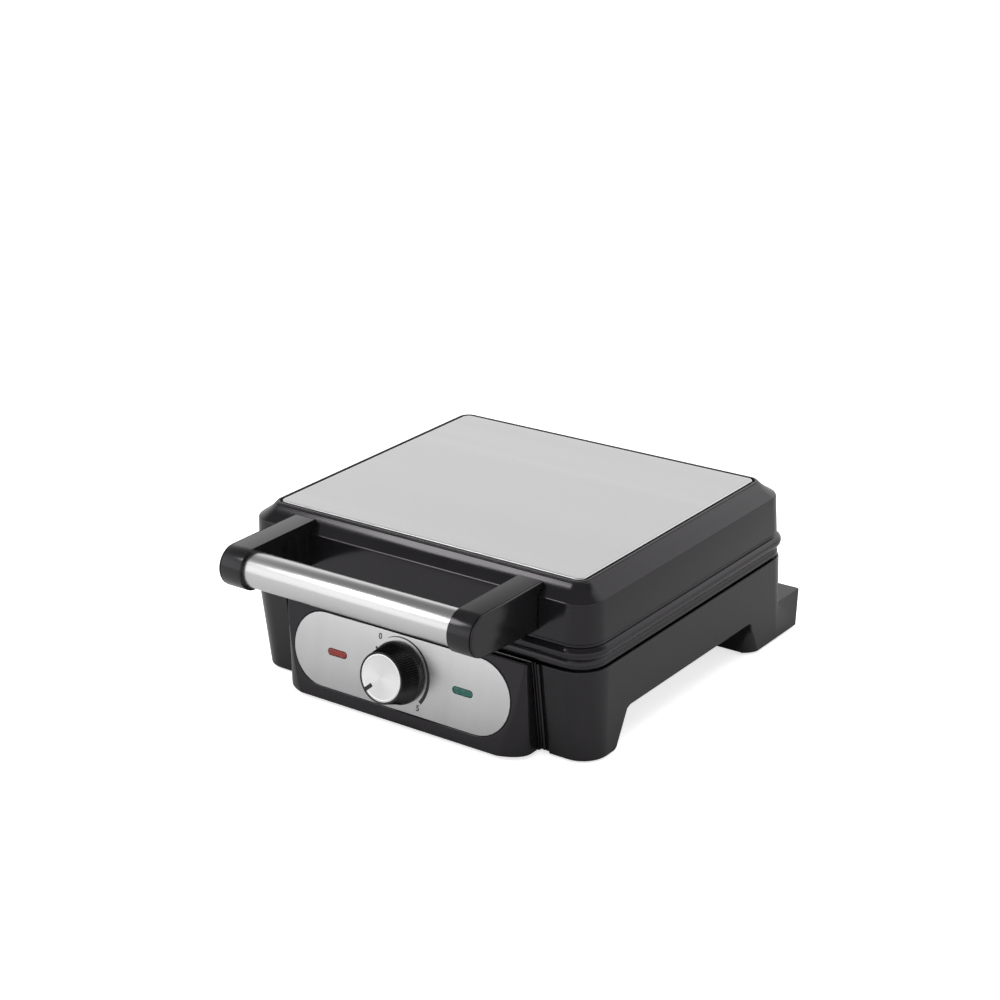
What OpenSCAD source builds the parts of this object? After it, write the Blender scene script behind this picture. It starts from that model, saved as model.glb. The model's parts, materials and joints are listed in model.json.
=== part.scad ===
// Four-slice waffle maker with a hinged lid, a tube handle and a thermostat knob.
// Millimetres, +Z up, +X to the right seen from the front, the front faces -Y.
// The origin is on the table, under the middle of the whole outline.

/* [Heights] */
// Overall height, from the table to the stainless top plate
height = 121.5; // [112:0.5:140]
// Height of the parting plane between base and lid
seam_z = 67.1; // [64:0.1:74]
// Open gap between the base rim and the lid frame
seam_gap = 1.2; // [0.8:0.1:2]
// Underside of the tub between the feet
belly_z = 28; // [24:0.5:30]
// How far the rubber pads lift the moulded feet
pad_lift = 1.5; // [1:0.1:3]

/* [Lid shell] */
// Width of the stainless top plate
plate_w = 247.4; // [235:0.2:262]
// Depth of the stainless top plate
plate_d = 210.4; // [200:0.2:225]
// Corner radius of the stainless top plate
plate_r = 5; // [3:0.5:12]
// Thickness of the stainless top plate
plate_t = 1.2; // [0.8:0.1:1.6]
// How far the plate stands above the lip around it
plate_proud = 0; // [0:0.1:1]
// Open gap between the plate and the lip
plate_gap = 1.2; // [0.3:0.1:1.6]
// Width of the lip around the plate
lip_w = 2.1; // [1.2:0.1:3]
// Drop of the steep upper part of the bevel
cove_drop = 5; // [3:0.5:6]
// Run of the steep upper part of the bevel
cove_run = 4.4; // [3:0.2:6]
// Drop from the lip to the shoulder
shoulder_drop = 10.5; // [8:0.5:13]
// Run from the lip to the shoulder
shoulder_run = 12.4; // [10:0.2:15]
// Corner radius at the shoulder
shoulder_r = 18; // [12:1:24]
// How much wider than the shoulder the wall is at the bead, each side
lid_flare = 1.2; // [0:0.1:2]
// Wall of the lid shell
lid_wall = 2.6; // [2:0.1:3]
// Height of the bead band above the frame
bead_h = 7.2; // [5:0.2:9]
// How far the bead stands out
bead_out = 2.8; // [1.5:0.1:3.5]
// Height of the lid frame
frame_h = 6.4; // [5.5:0.1:8]

/* [Base] */
// How much wider than the lid wall the lid frame is, each side
frame_step = 0.6; // [0:0.1:1]
// How much wider than the lid wall the base rim is, each side
base_step = 1.9; // [1:0.1:3]
// Draft of the side walls down to the feet, each side
side_draft = 4.1; // [2:0.1:6]
// Draft of the front wall down to the feet
front_draft = 6.6; // [4:0.1:9]
// Corner radius of the base rim
base_r = 22; // [18:1:26]
// Corner radius at the feet
toe_r = 18; // [14:1:22]
// Wall of the base housing
base_wall = 2.8; // [2.4:0.1:3.2]
// Front end of the leg gap at the belly, ahead of the body's middle
gap_front = 77; // [70:1:84]
// Rear end of the leg gap at the belly, behind the body's middle
gap_rear = 80; // [72:1:86]
// Slant of the front feet, over their height
front_slant = 11; // [6:1:14]
// Slant of the rear feet, over their height
rear_slant = 6; // [3:1:9]
// How far the rear feet reach behind the body's wall
heel_out = 22.5; // [14:0.5:26]
// Top of the rear feet behind the wall
heel_z = 28.5; // [24:0.5:34]
// Width of the space between the rear feet
heel_gap_w = 160; // [130:2:180]

/* [Controls] */
// Width of the control pod
pod_w = 198; // [190:1:206]
// Reach of the pod in front of the base rim, at the bottom
pod_out = 17.3; // [14:0.1:20]
// Top of the pod's lip
pod_top = 66.5; // [65:0.1:68]
// Lean of the pod's front, in degrees
pod_lean = 9.5; // [5:0.5:11]
// Rise of the pod's underside above the feet's soles
pod_rise = 1.1; // [0.5:0.1:3]
// How much narrower the pod's flat front is at the bottom, each side
pod_tuck = 17.5; // [10:0.5:22]
// Wall of the pod
pod_wall = 2.6; // [2:0.1:3]
// Width of the control panel
panel_w = 178.6; // [168:0.2:182]
// Height of the control panel
panel_h = 51.2; // [46:0.2:53]
// Thickness of the control panel
panel_t = 0.8; // [0.6:0.1:1.2]
// Height of the panel's middle and the knob's axis
panel_z = 37.5; // [36:0.1:39]
// Distance from the knob's axis to each lens
lens_x = 52; // [44:1:60]
// Length of a lens window
lens_w = 16; // [9:0.5:18]
// Height of a lens window
lens_h = 4.6; // [4:0.2:7]
// Diameter of the knob at the panel
knob_d = 42.4; // [36:0.2:46]
// Diameter of the knob at its front
knob_tip_d = 34.8; // [30:0.2:38]
// Length of the knob
knob_l = 18.2; // [14:0.1:24]
// Black rim of the knob round its spun cap
knob_rim = 1.3; // [1:0.05:3]
// Diameter of the thermostat's shaft
shaft_d = 6; // [5:0.1:7]
// Angle of the pointer at rest, in degrees from the right, seen from the front
pointer_angle = 221; // [180:1:260]

/* [Handle] */
// Diameter of the grip tube
tube_d = 24.1; // [20:0.1:28]
// Wall of the grip tube
tube_wall = 1.2; // [0.8:0.1:2]
// Distance between the arms
arm_span = 161.2; // [140:0.2:176]
// Width of an arm with its cover
arm_w = 21.6; // [17:0.2:26]
// Thickness of an arm's inner cover
arm_cover_t = 3; // [2:0.2:4]
// How far an arm's round front end stands out round the tube
arm_rim = 2.25; // [1.5:0.05:3.5]
// Reach of the grip tube's axis in front of the lid's bead wall
handle_out = 54.3; // [46:0.1:62]
// Drop from the stainless top plate to the arms' tops
arm_drop = 2; // [1:0.1:8]
// Rise from the bead to the arms' undersides at the lid
arm_rise = 6.7; // [4:0.1:10]

/* [Waffle plates] */
// How far a cast plate stays inside the lid's wall, each side
cast_in = 6.2; // [5.8:0.1:9]
// Thickness of a cast plate, rim to back
cast_t = 15; // [13:0.5:16]
// Thickness of a plate's flange
flange_t = 4; // [3:0.5:5]
// Overlap of the flange on its ledge
flange_lap = 5.4; // [4:0.2:7]
// Width of the flat rim around the pockets
rim_w = 8; // [6:0.5:12]
// Width of the walls between the pockets
rib_w = 8; // [5:0.5:12]
// Depth of a pocket
pocket_depth = 11; // [8:0.5:12]
// Height of the pegs
peg_h = 6.5; // [4:0.5:8]
// Side of a peg
peg_w = 12; // [8:0.5:14]
// Pegs along the width of a pocket
pegs_x = 5; // [3:1:7]
// Pegs along the depth of a pocket
pegs_y = 4; // [3:1:6]
// Gap between the two plates when shut
plates_gap = 0.4; // [0.3:0.1:1]

/* [Hinge] */
// Distance of the hinge axis behind the base rim
hinge_out = 8.9; // [8.6:0.1:11]
// Outer radius of the knuckles
knuckle_r = 7.5; // [6.5:0.1:7.8]
// Radius of the hollow hinge pins
pin_r = 4; // [3:0.1:4.5]
// Bore radius of the hollow hinge pins
pin_bore_r = 2.6; // [2:0.1:3]
// Distance of each hinge from the middle
hinge_x = 80; // [60:1:92]
// Width of a hinge arm on the lid
hinge_arm_w = 15.2; // [12:0.2:20]
// Width of each knuckle on the base
knuckle_w = 12; // [9:0.5:16]

/* [Electrics] */
// Radius of the tubular heating elements
heater_r = 3.25; // [2.5:0.25:4]
// How far the element's long runs stay inside the pockets' outer edge
heater_in = 38; // [30:1:50]
// Bend radius of the elements
heater_bend = 26; // [16:2:36]
// Thickness of the reflector sheet
sheet_t = 0.8; // [0.5:0.1:1.2]
// Bore radius of the cord gland
gland_bore_r = 3.6; // [3:0.1:4.5]
// Height of the cord gland above the belly
gland_rise = 17; // [15:0.5:22]
// Length of the cord gland
gland_l = 14; // [12:0.5:20]
// Radius of the gland's body in the wall
gland_body_r = 6.5; // [5.5:0.1:8]
// Radius of the wires' sleeves
lead_r = 1.4; // [1:0.1:1.8]

/* [Hidden] */
$fn = 48;

// Assembly clearance between pieces that are fastened together, and running clearance of shafts and pins.
fit = 0.2;
run_fit = 0.05;
over = 1;
corner_steps = 6;

// Plate, lip, shoulder and bead outlines are half sizes that grow outwards from the top plate.
lip_z = height - plate_proud;
lip_hw = plate_w / 2 + plate_gap + lip_w;
lip_hd = plate_d / 2 + plate_gap + lip_w;
lip_r = plate_r + plate_gap + lip_w;
shoulder_z = lip_z - shoulder_drop;
shoulder_hw = lip_hw + shoulder_run;
shoulder_hd = lip_hd + shoulder_run;
wall_hw = shoulder_hw + lid_flare;
wall_hd = shoulder_hd + lid_flare;
base_top = seam_z - seam_gap / 2;
frame_z = seam_z + seam_gap / 2;
shell_z = frame_z + frame_h;
bead_top = shell_z + bead_h;
cove_z = lip_z - cove_drop;
cove_hw = lip_hw + cove_run;
cove_hd = lip_hd + cove_run;
lid_top_t = 3;
bead_foot = 0.9;
rim_hw = wall_hw + base_step;
rim_hd = wall_hd + base_step;
frame_hw = wall_hw + frame_step;
frame_hd = wall_hd + frame_step;
toe_hw = rim_hw - side_draft;
toe_front = rim_hd - front_draft;

// Pod and panel: the panel frame has its origin on the pod's front, X right, Y up the panel, Z out of it.
pod_y = -(rim_hd + pod_out);
pod_side = -(rim_hd + 2);
pod_back = -(rim_hd - front_draft - 4);
pod_edge = 1.2;
pod_levels = 8;
lean = tan(pod_lean);
panel_y = pod_y + lean * (panel_z - pad_lift);
panel_seat = 0.5;
lip_drop = 5;
window_w = 176;
window_h = 42;
lens_flange = 1.2;
lens_proud = 0.8;
lamp_r = 2.2;
lamp_l = 8;
lamp_front = -pod_wall - 2 * fit - lens_flange;
holder_w = 16;
holder_h = 12;
bush_r = 4.8;
bush_l = 4;
therm_r = 14;
therm_l = 12;
bracket_w = 40;
bracket_h = 34;
bracket_t = 1.5;
bracket_back = -pod_wall - fit - bracket_t;
therm_front = bracket_back - fit;
nut_r = 8;
nut_t = 2.4;

// Knob: it turns just off the panel, on the flat of the thermostat's shaft.
knob_gap = 1;
knob_skirt = 2.5;
knob_edge = 0.8;
knob_hollow = 9;
cap_d = knob_tip_d - 2 * knob_rim;
cap_t = 1.4;
cap_z = knob_gap + knob_l - cap_t / 2;
pointer_l = 7;
pointer_w = 1.6;
flat_depth = 1;
shaft_back = therm_front - therm_l / 2 + fit;
shaft_front = knob_gap + knob_l - 4;

// Bottom cover and rubber pads.
cover_hw = 112;
cover_hd = 66;
cover_r = 3;
cover_lap = 6;
cover_t = 1.8;
slot_w = 4;
slot_l = 40;
slot_pitch = 14;
pad_r = 6;
pad_seat = 1.5;
pad_x = 112;
pad_front = 104;
pad_rear = 122;

// Cast plates hang from or sit on a ledge through their flanges.
lower_rim = seam_z - plates_gap / 2;
upper_rim = seam_z + plates_gap / 2;
ledge_t = 3;
cast_hw = wall_hw - cast_in;
cast_hd = wall_hd - cast_in;
opening_hw = cast_hw - flange_lap;
opening_hd = cast_hd - flange_lap;
cast_r = 8;
pocket_hw = cast_hw - rim_w;
pocket_hd = cast_hd - rim_w;
frame_ledge = shell_z - upper_rim - flange_t;
boss_r = 5;
boss_x = pocket_hw - 16;
boss_y = pocket_hd - 12;
screw_r = 1.5;
head_r = 2.9;
head_h = 1.6;
flange_screw_y = 60;
heater_y = pocket_hd - heater_in;
heater_x = pocket_hw - 42;
heater_end = pocket_hw - 14;
heater_pin = 7;
heater_drop = cast_t + fit + heater_r;
sheet_drop = cast_t + 2 * fit + 2 * heater_r;
pan_hw = heater_end - 4;
pan_hd = heater_y + 18;
pan_lip = 5;
ear_w = 18;
ear_x = boss_x - 4;
ear_y = boss_y - 3;
pan_slot = 4;

// Handle.
arm_d = tube_d + 2 * arm_rim;
arm_top = height - arm_drop;
arm_low = bead_top + arm_rise;
tube_y = -(wall_hd + handle_out);
tube_z = arm_top - arm_d / 2;
tube_r = tube_d / 2;
rod_r = 2.5;
rod_end = 6;
socket_l = 8;
arm_mid = arm_span / 2 + arm_w / 2;
cover_inset = 0.8;
// The hollow in each arm, behind its cover, between the tube's socket and the screws.
arm_hollow_wall = 5;
arm_root = 16;
arm_web = 4;

// The two screws of each arm, at these shares of the height that bears on the lid's wall.
screw_shares = [0.25, 0.8];
arm_screw_l = 14;

// Hinge.
hinge_y = rim_hd + hinge_out;
hinge_z = seam_z;
hinge_side = 0.4;
strap_t = 6;
strap_foot = bead_top + 4;
strap_top = shoulder_z - 9;
strap_screw_l = 13;
strap_screw_pitch = 6.6;
knuckle_in = hinge_x - hinge_arm_w / 2 - hinge_side - knuckle_w;
knuckle_out = hinge_x + hinge_arm_w / 2 + hinge_side;

// Wiring. Wires are swept with eight sides; skew is any direction that none of them follows.
skew = [0.37, 0.29, 0.88];
gland_z = belly_z + gland_rise;
gland_in = 5;
gland_flange = 3;
floor_z = belly_z + base_wall + 2 * fit;
block_y = rim_hd - base_wall - 32;
block_l = 36;
block_w = 12;
block_h = 10;
lead_z = floor_z + block_h / 2 + 2;
pan_under = lower_rim - sheet_drop - sheet_t;
capillary_r = 0.8;
bulb_r = 2;
bulb_l = 51;
fuse_r = 3;
fuse_l = 24;
fuse_y = 40;
fuse_z = pan_under - fit - fuse_r;
lead_hole_x = knuckle_in - 30;
lead_hole_z = base_top - 9.5;
lead_lid_x = knuckle_out + knuckle_w + 12;
lead_lid_z = bead_top + 11.7;
// Where a wire at height z starts, behind the leaning back of the thermostat or of a lamp.
function behind(depth, z) = panel_y + lean * (z - panel_z) + depth / cos(pod_lean) + lead_r + fit;
function therm_y(z) = behind(therm_l - therm_front, z);
function lamp_y(z) = behind(lamp_l - lamp_front, z);
end_x = heater_end + heater_pin + lead_r;
low_end_z = lower_rim - heater_drop;
high_end_z = upper_rim + heater_drop;

// The body's middle moves back, so that the origin is under the middle of the whole outline.
rear_reach = rim_hd + heel_out;
front_reach = -tube_y + arm_d / 2;
body_y = (front_reach - rear_reach) / 2;

module in_frame() {
    translate([0, body_y, 0]) children();
}

// ---- outlines and lofts ----

function arc(cx, cy, r, from) = [for (k = [0:corner_steps]) let (a = from + 90 * k / corner_steps)
    [cx + r * cos(a), cy + r * sin(a)]];

function outline(hw, front, rear, r) = concat(
    arc(hw - r, rear - r, r, 0), arc(-hw + r, rear - r, r, 90),
    arc(-hw + r, -front + r, r, 180), arc(hw - r, -front + r, r, 270));

function ring(z, hw, front, rear, r) = [for (p = outline(hw, front, rear, r)) [p[0], p[1], z]];

// Skin through rings of equal count, listed upwards with counter-clockwise points.
module loft(rings) {
    n = len(rings[0]);
    m = len(rings);
    sides = [for (j = [0:m - 2], i = [0:n - 1]) let (k = (i + 1) % n)
        [j * n + i, (j + 1) * n + i, (j + 1) * n + k, j * n + k]];
    bottom = [for (i = [0:n - 1]) i];
    top = [for (i = [n - 1:-1:0]) (m - 1) * n + i];
    polyhedron(points = [for (r = rings) each r], faces = concat(sides, [bottom, top]));
}

module plate(hw, hd, r, z, t) {
    translate([0, 0, z]) linear_extrude(t) polygon(outline(hw, hd, hd, r));
}

module pill(w, h, z, t) {
    translate([0, 0, z]) linear_extrude(t) union() {
        square([w - h, h], center = true);
        for (s = [-1, 1]) translate([s * (w - h) / 2, 0]) circle(d = h);
    }
}

// Round wire along points, with eight sides.
function unit(v) = v / norm(v);
function heading(p, i) = unit(p[min(i + 1, len(p) - 1)] - p[max(i - 1, 0)]);
function wire_ring(p, i, r) = let (t = heading(p, i), u = unit(cross(t, skew)), v = cross(t, u))
    [for (k = [0:7]) p[i] + r * (cos(45 * k) * u + sin(45 * k) * v)];

module wire(points, r) {
    loft([for (i = [0:len(points) - 1]) wire_ring(points, i, r)]);
}

module along_x(x, l) {
    translate([x, 0, 0]) rotate([90, 0, 90]) linear_extrude(l) children();
}

module mirrored() {
    children();
    mirror([1, 0, 0]) children();
}

module corners(x, y) {
    for (sx = [-1, 1], sy = [-1, 1]) translate([sx * x, sy * y, 0]) children();
}

module at_panel() {
    translate([0, panel_y, panel_z]) rotate([90 - pod_lean, 0, 0]) children();
}

// ---- base ----

module base_skin(grow, bottom, top) {
    span = base_top - pad_lift;
    share = [(bottom - pad_lift) / span, (top - pad_lift) / span];
    loft([for (s = share) ring(pad_lift + s * span, toe_hw + s * side_draft + grow,
        toe_front + s * front_draft + grow, rim_hd + grow, toe_r + s * (base_r - toe_r) + grow)]);
}

// The space under the belly: between the front and rear feet, and between the two rear feet.
module under_belly(grow) {
    top = belly_z + grow;
    along_x(-rim_hw - over, 2 * rim_hw + 2 * over) polygon([
        [-gap_front - front_slant - grow, pad_lift - over], [gap_rear + rear_slant + grow, pad_lift - over],
        [gap_rear + grow, top], [-gap_front - grow, top]]);
    translate([-heel_gap_w / 2 - grow, 0, pad_lift - over])
        cube([heel_gap_w + 2 * grow, rear_reach + over, top - pad_lift + over]);
}

module heels(grow, rise) {
    depth = rear_reach - gap_rear + grow;
    mirrored() translate([heel_gap_w / 2 - grow, rear_reach - depth + grow, pad_lift + rise])
        cube([toe_hw - heel_gap_w / 2 + 2 * grow, depth, heel_z - pad_lift - rise + grow]);
}

module at_hinge(x) {
    translate([x, hinge_y, hinge_z]) rotate([0, 90, 0]) children();
}

module knuckle(x) {
    along_x(x, knuckle_w) polygon([
        [rim_hd - base_wall / 2, hinge_z - 3 * knuckle_r], [rim_hd, hinge_z - 3 * knuckle_r],
        [hinge_y + knuckle_r * cos(30), hinge_z - knuckle_r * sin(30)], [hinge_y, hinge_z],
        [rim_hd - base_wall / 2, base_top - fit]]);
    at_hinge(x) cylinder(r = knuckle_r, h = knuckle_w);
}

module base_ledge() {
    z = lower_rim - flange_t - fit / 2 - ledge_t;
    difference() {
        plate(rim_hw - base_wall / 2, rim_hd - base_wall / 2, base_r, z, ledge_t);
        plate(opening_hw + fit, opening_hd + fit, cast_r, z - over, ledge_t + 2 * over);
    }
}

module pad_places() {
    for (s = [-1, 1]) {
        translate([s * pad_x, -pad_front, 0]) children();
        translate([s * pad_x, pad_rear, 0]) children();
    }
}

module base_housing() {
    in_frame() color("#232325") difference() {
        union() {
            difference() {
                union() {
                    base_skin(0, pad_lift, base_top);
                    heels(0, 0);
                }
                difference() {
                    base_skin(-base_wall, pad_lift + base_wall, base_top + over);
                    under_belly(base_wall + fit);
                }
                under_belly(0);
                mirrored() translate([heel_gap_w / 2 + base_wall, gap_rear + rear_slant + base_wall,
                    pad_lift + base_wall]) cube([toe_hw - heel_gap_w / 2 - 2 * base_wall,
                    rear_reach - gap_rear - rear_slant - 2 * base_wall, heel_z - pad_lift - 2 * base_wall]);
            }
            base_ledge();
            mirrored() {
                knuckle(knuckle_in);
                knuckle(knuckle_out);
            }
        }
        // window behind the control pod, cover opening and its seat
        translate([-window_w / 2, -rim_hd - over, panel_z - window_h / 2])
            cube([window_w, 2 * base_wall + front_draft + over, window_h]);
        plate(cover_hw - cover_lap, cover_hd - cover_lap, cover_r, belly_z - over, 2 * base_wall + over);
        plate(cover_hw, cover_hd, cover_r, belly_z - over, over + cover_t + fit);
        // hinge pins, cord gland, lead hole, feet and screws
        at_hinge(-rim_hw) cylinder(r = pin_r + run_fit, h = 2 * rim_hw);
        translate([0, rim_hd + over, gland_z]) rotate([90, 0, 0])
            cylinder(r = gland_body_r + fit, h = 4 * over + base_wall);
        translate([lead_hole_x, rim_hd + over, lead_hole_z]) rotate([90, 0, 0])
            cylinder(r = lead_r + fit, h = 4 * over + base_wall);
        pad_places() translate([0, 0, pad_lift - over]) cylinder(r = pad_r + fit, h = over + pad_seat);
        corners(opening_hw + flange_lap / 2, flange_screw_y)
            translate([0, 0, base_top - 4 * ledge_t]) cylinder(r = screw_r + run_fit, h = 4 * ledge_t);
        corners(cover_hw - cover_lap / 2, cover_hd - cover_lap / 2)
            translate([0, 0, belly_z]) cylinder(r = screw_r + run_fit, h = 2 * base_wall);
    }
}

module bottom_cover() {
    in_frame() color("#2a2a2c") difference() {
        plate(cover_hw - fit, cover_hd - fit, cover_r, belly_z + fit / 2, cover_t);
        for (i = [-4:4]) translate([i * slot_pitch - slot_w / 2, -slot_l / 2, belly_z - over])
            cube([slot_w, slot_l, cover_t + 2 * over]);
        corners(cover_hw - cover_lap / 2, cover_hd - cover_lap / 2)
            translate([0, 0, belly_z - over]) cylinder(r = screw_r + fit, h = 4 * over);
    }
}

module bottom_screws() {
    in_frame() color("silver") corners(cover_hw - cover_lap / 2, cover_hd - cover_lap / 2) {
        translate([0, 0, belly_z - head_h + fit / 4]) cylinder(r = head_r, h = head_h);
        translate([0, 0, belly_z - fit]) cylinder(r = screw_r, h = base_wall + fit);
    }
}

module rubber_feet() {
    in_frame() color("#101010") pad_places() cylinder(r = pad_r, h = pad_lift + pad_seat - fit);
}

// ---- control pod ----

// A level of the pod: a flat front, and elliptical corners that turn back to straight sides.
// The corners grow towards the bottom, where the flat front is pod_tuck narrower.
function pod_ring(z, in) = let (
    share = max(pod_top - z, 0) / (pod_top - pad_lift),
    turn = pod_edge + (pod_tuck - pod_edge) * pow(share, 1.5),
    front = pod_y + lean * (z - pad_lift) + in,
    side = pod_w / 2 - in) concat(
        [[side, pod_back, z], [-side, pod_back, z]],
        [for (k = [0:corner_steps]) let (a = 15 * k)
            [-side + turn * (1 - cos(a)), pod_side - (pod_side - front) * sin(a), z]],
        [for (k = [corner_steps:-1:0]) let (a = 15 * k)
            [side - turn * (1 - cos(a)), pod_side - (pod_side - front) * sin(a), z]]);

module pod_block(in, high) {
    low = pad_lift + pod_rise + in;
    loft(concat([pod_ring(low, in + pod_edge)],
        [for (k = [0:pod_levels]) pod_ring(low + pod_edge + (high - low - pod_edge) * k / pod_levels, in)]));
}

module control_housing() {
    in_frame() color("#232325") difference() {
        pod_block(0, pod_top);
        pod_block(pod_wall, pod_top - lip_drop - pod_wall);
        base_skin(fit, pad_lift - over, pod_top + 8);
        translate([-pod_w / 2 + pod_wall, pod_y + lean * pod_top + pod_wall, pod_top - lip_drop])
            cube([pod_w - 2 * pod_wall, pod_out + 2, lip_drop + over]);
        at_panel() {
            pill(panel_w + fit, panel_h + fit, -panel_seat, 2);
            translate([0, 0, -8]) cylinder(r = bush_r + fit, h = 10);
            for (s = [-1, 1]) translate([s * lens_x, 0, 0]) pill(lens_w + fit, lens_h + fit, -8, 10);
        }
    }
}

module control_panel() {
    in_frame() color("#c9c9c9") at_panel() difference() {
        pill(panel_w, panel_h, -panel_seat + fit / 4, panel_t);
        translate([0, 0, -2]) cylinder(r = bush_r + fit, h = 4);
        for (s = [-1, 1]) translate([s * lens_x, 0, 0]) pill(lens_w + fit, lens_h + fit, -2, 4);
    }
}

module lens(side) {
    in_frame() at_panel() translate([side * lens_x, 0, 0]) {
        back = pod_wall + fit + lens_flange;
        pill(lens_w, lens_h, -back + lens_flange / 2, back - lens_flange / 2 + lens_proud);
        pill(lens_w + 3, lens_h + 3, -back, lens_flange);
    }
}

module power_lens() {
    color("#a03028") lens(-1);
}

module ready_lens() {
    color("#2f6f63") lens(1);
}

module indicator_lamps() {
    in_frame() color("#e8c8a0") at_panel() for (s = [-1, 1])
        translate([s * lens_x, 0, lamp_front - lamp_l]) cylinder(r = lamp_r, h = lamp_l);
}

module lamp_holders() {
    in_frame() color("#d8d4c8") at_panel() for (s = [-1, 1]) translate([s * lens_x, 0, 0]) difference() {
        translate([-holder_w / 2, -holder_h / 2, lamp_front - lamp_l]) cube([holder_w, holder_h, lamp_l]);
        translate([0, 0, lamp_front - lamp_l - over]) cylinder(r = lamp_r + fit, h = lamp_l + 2 * over);
    }
}

// ---- thermostat ----

module thermostat() {
    in_frame() color("#b0a898") at_panel() difference() {
        union() {
            translate([0, 0, therm_front - therm_l]) cylinder(r = therm_r, h = therm_l);
            translate([0, 0, therm_front - fit]) cylinder(r = bush_r, h = -therm_front + fit + bush_l);
        }
        translate([0, 0, shaft_back - fit]) cylinder(r = shaft_d / 2 + run_fit, h = 2 * therm_l);
    }
}

module thermostat_bracket() {
    in_frame() color("#9a9a9e") at_panel() difference() {
        translate([-bracket_w / 2, -bracket_h / 2, bracket_back]) cube([bracket_w, bracket_h, bracket_t]);
        translate([0, 0, bracket_back - over]) cylinder(r = bush_r + fit, h = 4);
    }
}

module thermostat_nut() {
    in_frame() color("#c8b070") at_panel() difference() {
        translate([0, 0, panel_t - panel_seat + fit]) cylinder(r = nut_r, h = nut_t, $fn = 6);
        translate([0, 0, -over]) cylinder(r = bush_r + run_fit, h = 8);
    }
}

module thermostat_shaft() {
    in_frame() color("#b8b8bc") at_panel()
        difference() {
            translate([0, 0, shaft_back]) cylinder(r = shaft_d / 2, h = shaft_front - shaft_back);
            translate([shaft_d / 2 - flat_depth, -shaft_d, bush_l + over])
                cube([shaft_d, 2 * shaft_d, knob_l]);
        }
}

// ---- knob ----

module pointer(grow) {
    rotate([0, 0, pointer_angle]) translate([cap_d / 2 - pointer_l - grow, -pointer_w / 2 - grow, 0])
        cube([pointer_l + knob_d / 4, pointer_w + 2 * grow, knob_gap + 2 * knob_l]);
}

module knob_body() {
    front = knob_gap + knob_l;
    in_frame() color("#1c1c1e") at_panel() difference() {
        rotate_extrude() polygon([[0, knob_gap], [knob_d / 2, knob_gap], [knob_d / 2, knob_gap + knob_skirt],
            [knob_tip_d / 2, front - knob_edge], [knob_tip_d / 2 - knob_edge, front], [0, front]]);
        translate([0, 0, -over]) cylinder(r = nut_r + knob_gap, h = over + knob_hollow);
        difference() {
            translate([0, 0, -over]) cylinder(r = shaft_d / 2 + fit, h = over + shaft_front + fit);
            translate([shaft_d / 2 - flat_depth + fit, -shaft_d, bush_l + over])
                cube([shaft_d, 2 * shaft_d, knob_l]);
        }
        difference() {
            translate([0, 0, cap_z - fit]) cylinder(r = cap_d / 2 + fit, h = knob_l);
            pointer(0);
        }
    }
}

module knob_cap() {
    in_frame() color("#d4d4d6") at_panel() difference() {
        translate([0, 0, cap_z]) cylinder(r = cap_d / 2, h = cap_t);
        pointer(fit);
    }
}

// ---- waffle plates, heaters and reflectors ----

// A plate with its rim at z = 0 and its back at z = -cast_t, pegs upwards.
module cast_plate() {
    cell_x = (pocket_hw - rib_w / 2) / pegs_x;
    cell_y = (pocket_hd - rib_w / 2) / pegs_y;
    difference() {
        union() {
            plate(cast_hw, cast_hd, cast_r, -flange_t, flange_t);
            plate(opening_hw - fit, opening_hd - fit, cast_r, -cast_t, cast_t);
            corners(boss_x, boss_y)
                translate([0, 0, -sheet_drop + fit]) cylinder(r = boss_r, h = 2 * heater_r + over);
        }
        corners(pocket_hw / 2 + rib_w / 4, pocket_hd / 2 + rib_w / 4) translate([0, 0, -pocket_depth])
            linear_extrude(pocket_depth + over)
                square([pocket_hw - rib_w / 2, pocket_hd - rib_w / 2], center = true);
        corners(opening_hw + flange_lap / 2, flange_screw_y)
            translate([0, 0, -flange_t - over]) cylinder(r = screw_r + run_fit, h = over + flange_t - 1);
        corners(boss_x, boss_y) translate([0, 0, -cast_t - 2 * heater_r - over])
            cylinder(r = screw_r + run_fit, h = 2 * heater_r + over + 2);
    }
    translate([0, 0, -pocket_depth - over]) linear_extrude(peg_h + over)
        for (i = [0:pegs_x - 1], j = [0:pegs_y - 1], sx = [-1, 1], sy = [-1, 1])
            translate([sx * (rib_w / 2 + (i + 0.5) * cell_x), sy * (rib_w / 2 + (j + 0.5) * cell_y)])
                square(peg_w, center = true);
}

function bend(cx, cy, from) = [for (k = [0:4]) let (a = from + 22.5 * k)
    [cx + heater_bend * cos(a), cy + heater_bend * sin(a), 0]];
heater_path = concat([[heater_end, heater_y, 0]],
    bend(-heater_x + heater_bend, heater_y - heater_bend, 90),
    bend(-heater_x + heater_bend, -heater_y + heater_bend, 180), [[heater_end, -heater_y, 0]]);

module heater() {
    translate([0, 0, -heater_drop]) wire(heater_path, heater_r);
    for (s = [-1, 1]) translate([heater_end - over, s * heater_y, -heater_drop]) rotate([0, 90, 0])
        cylinder(r = heater_r / 2, h = heater_pin + over);
}

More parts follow.
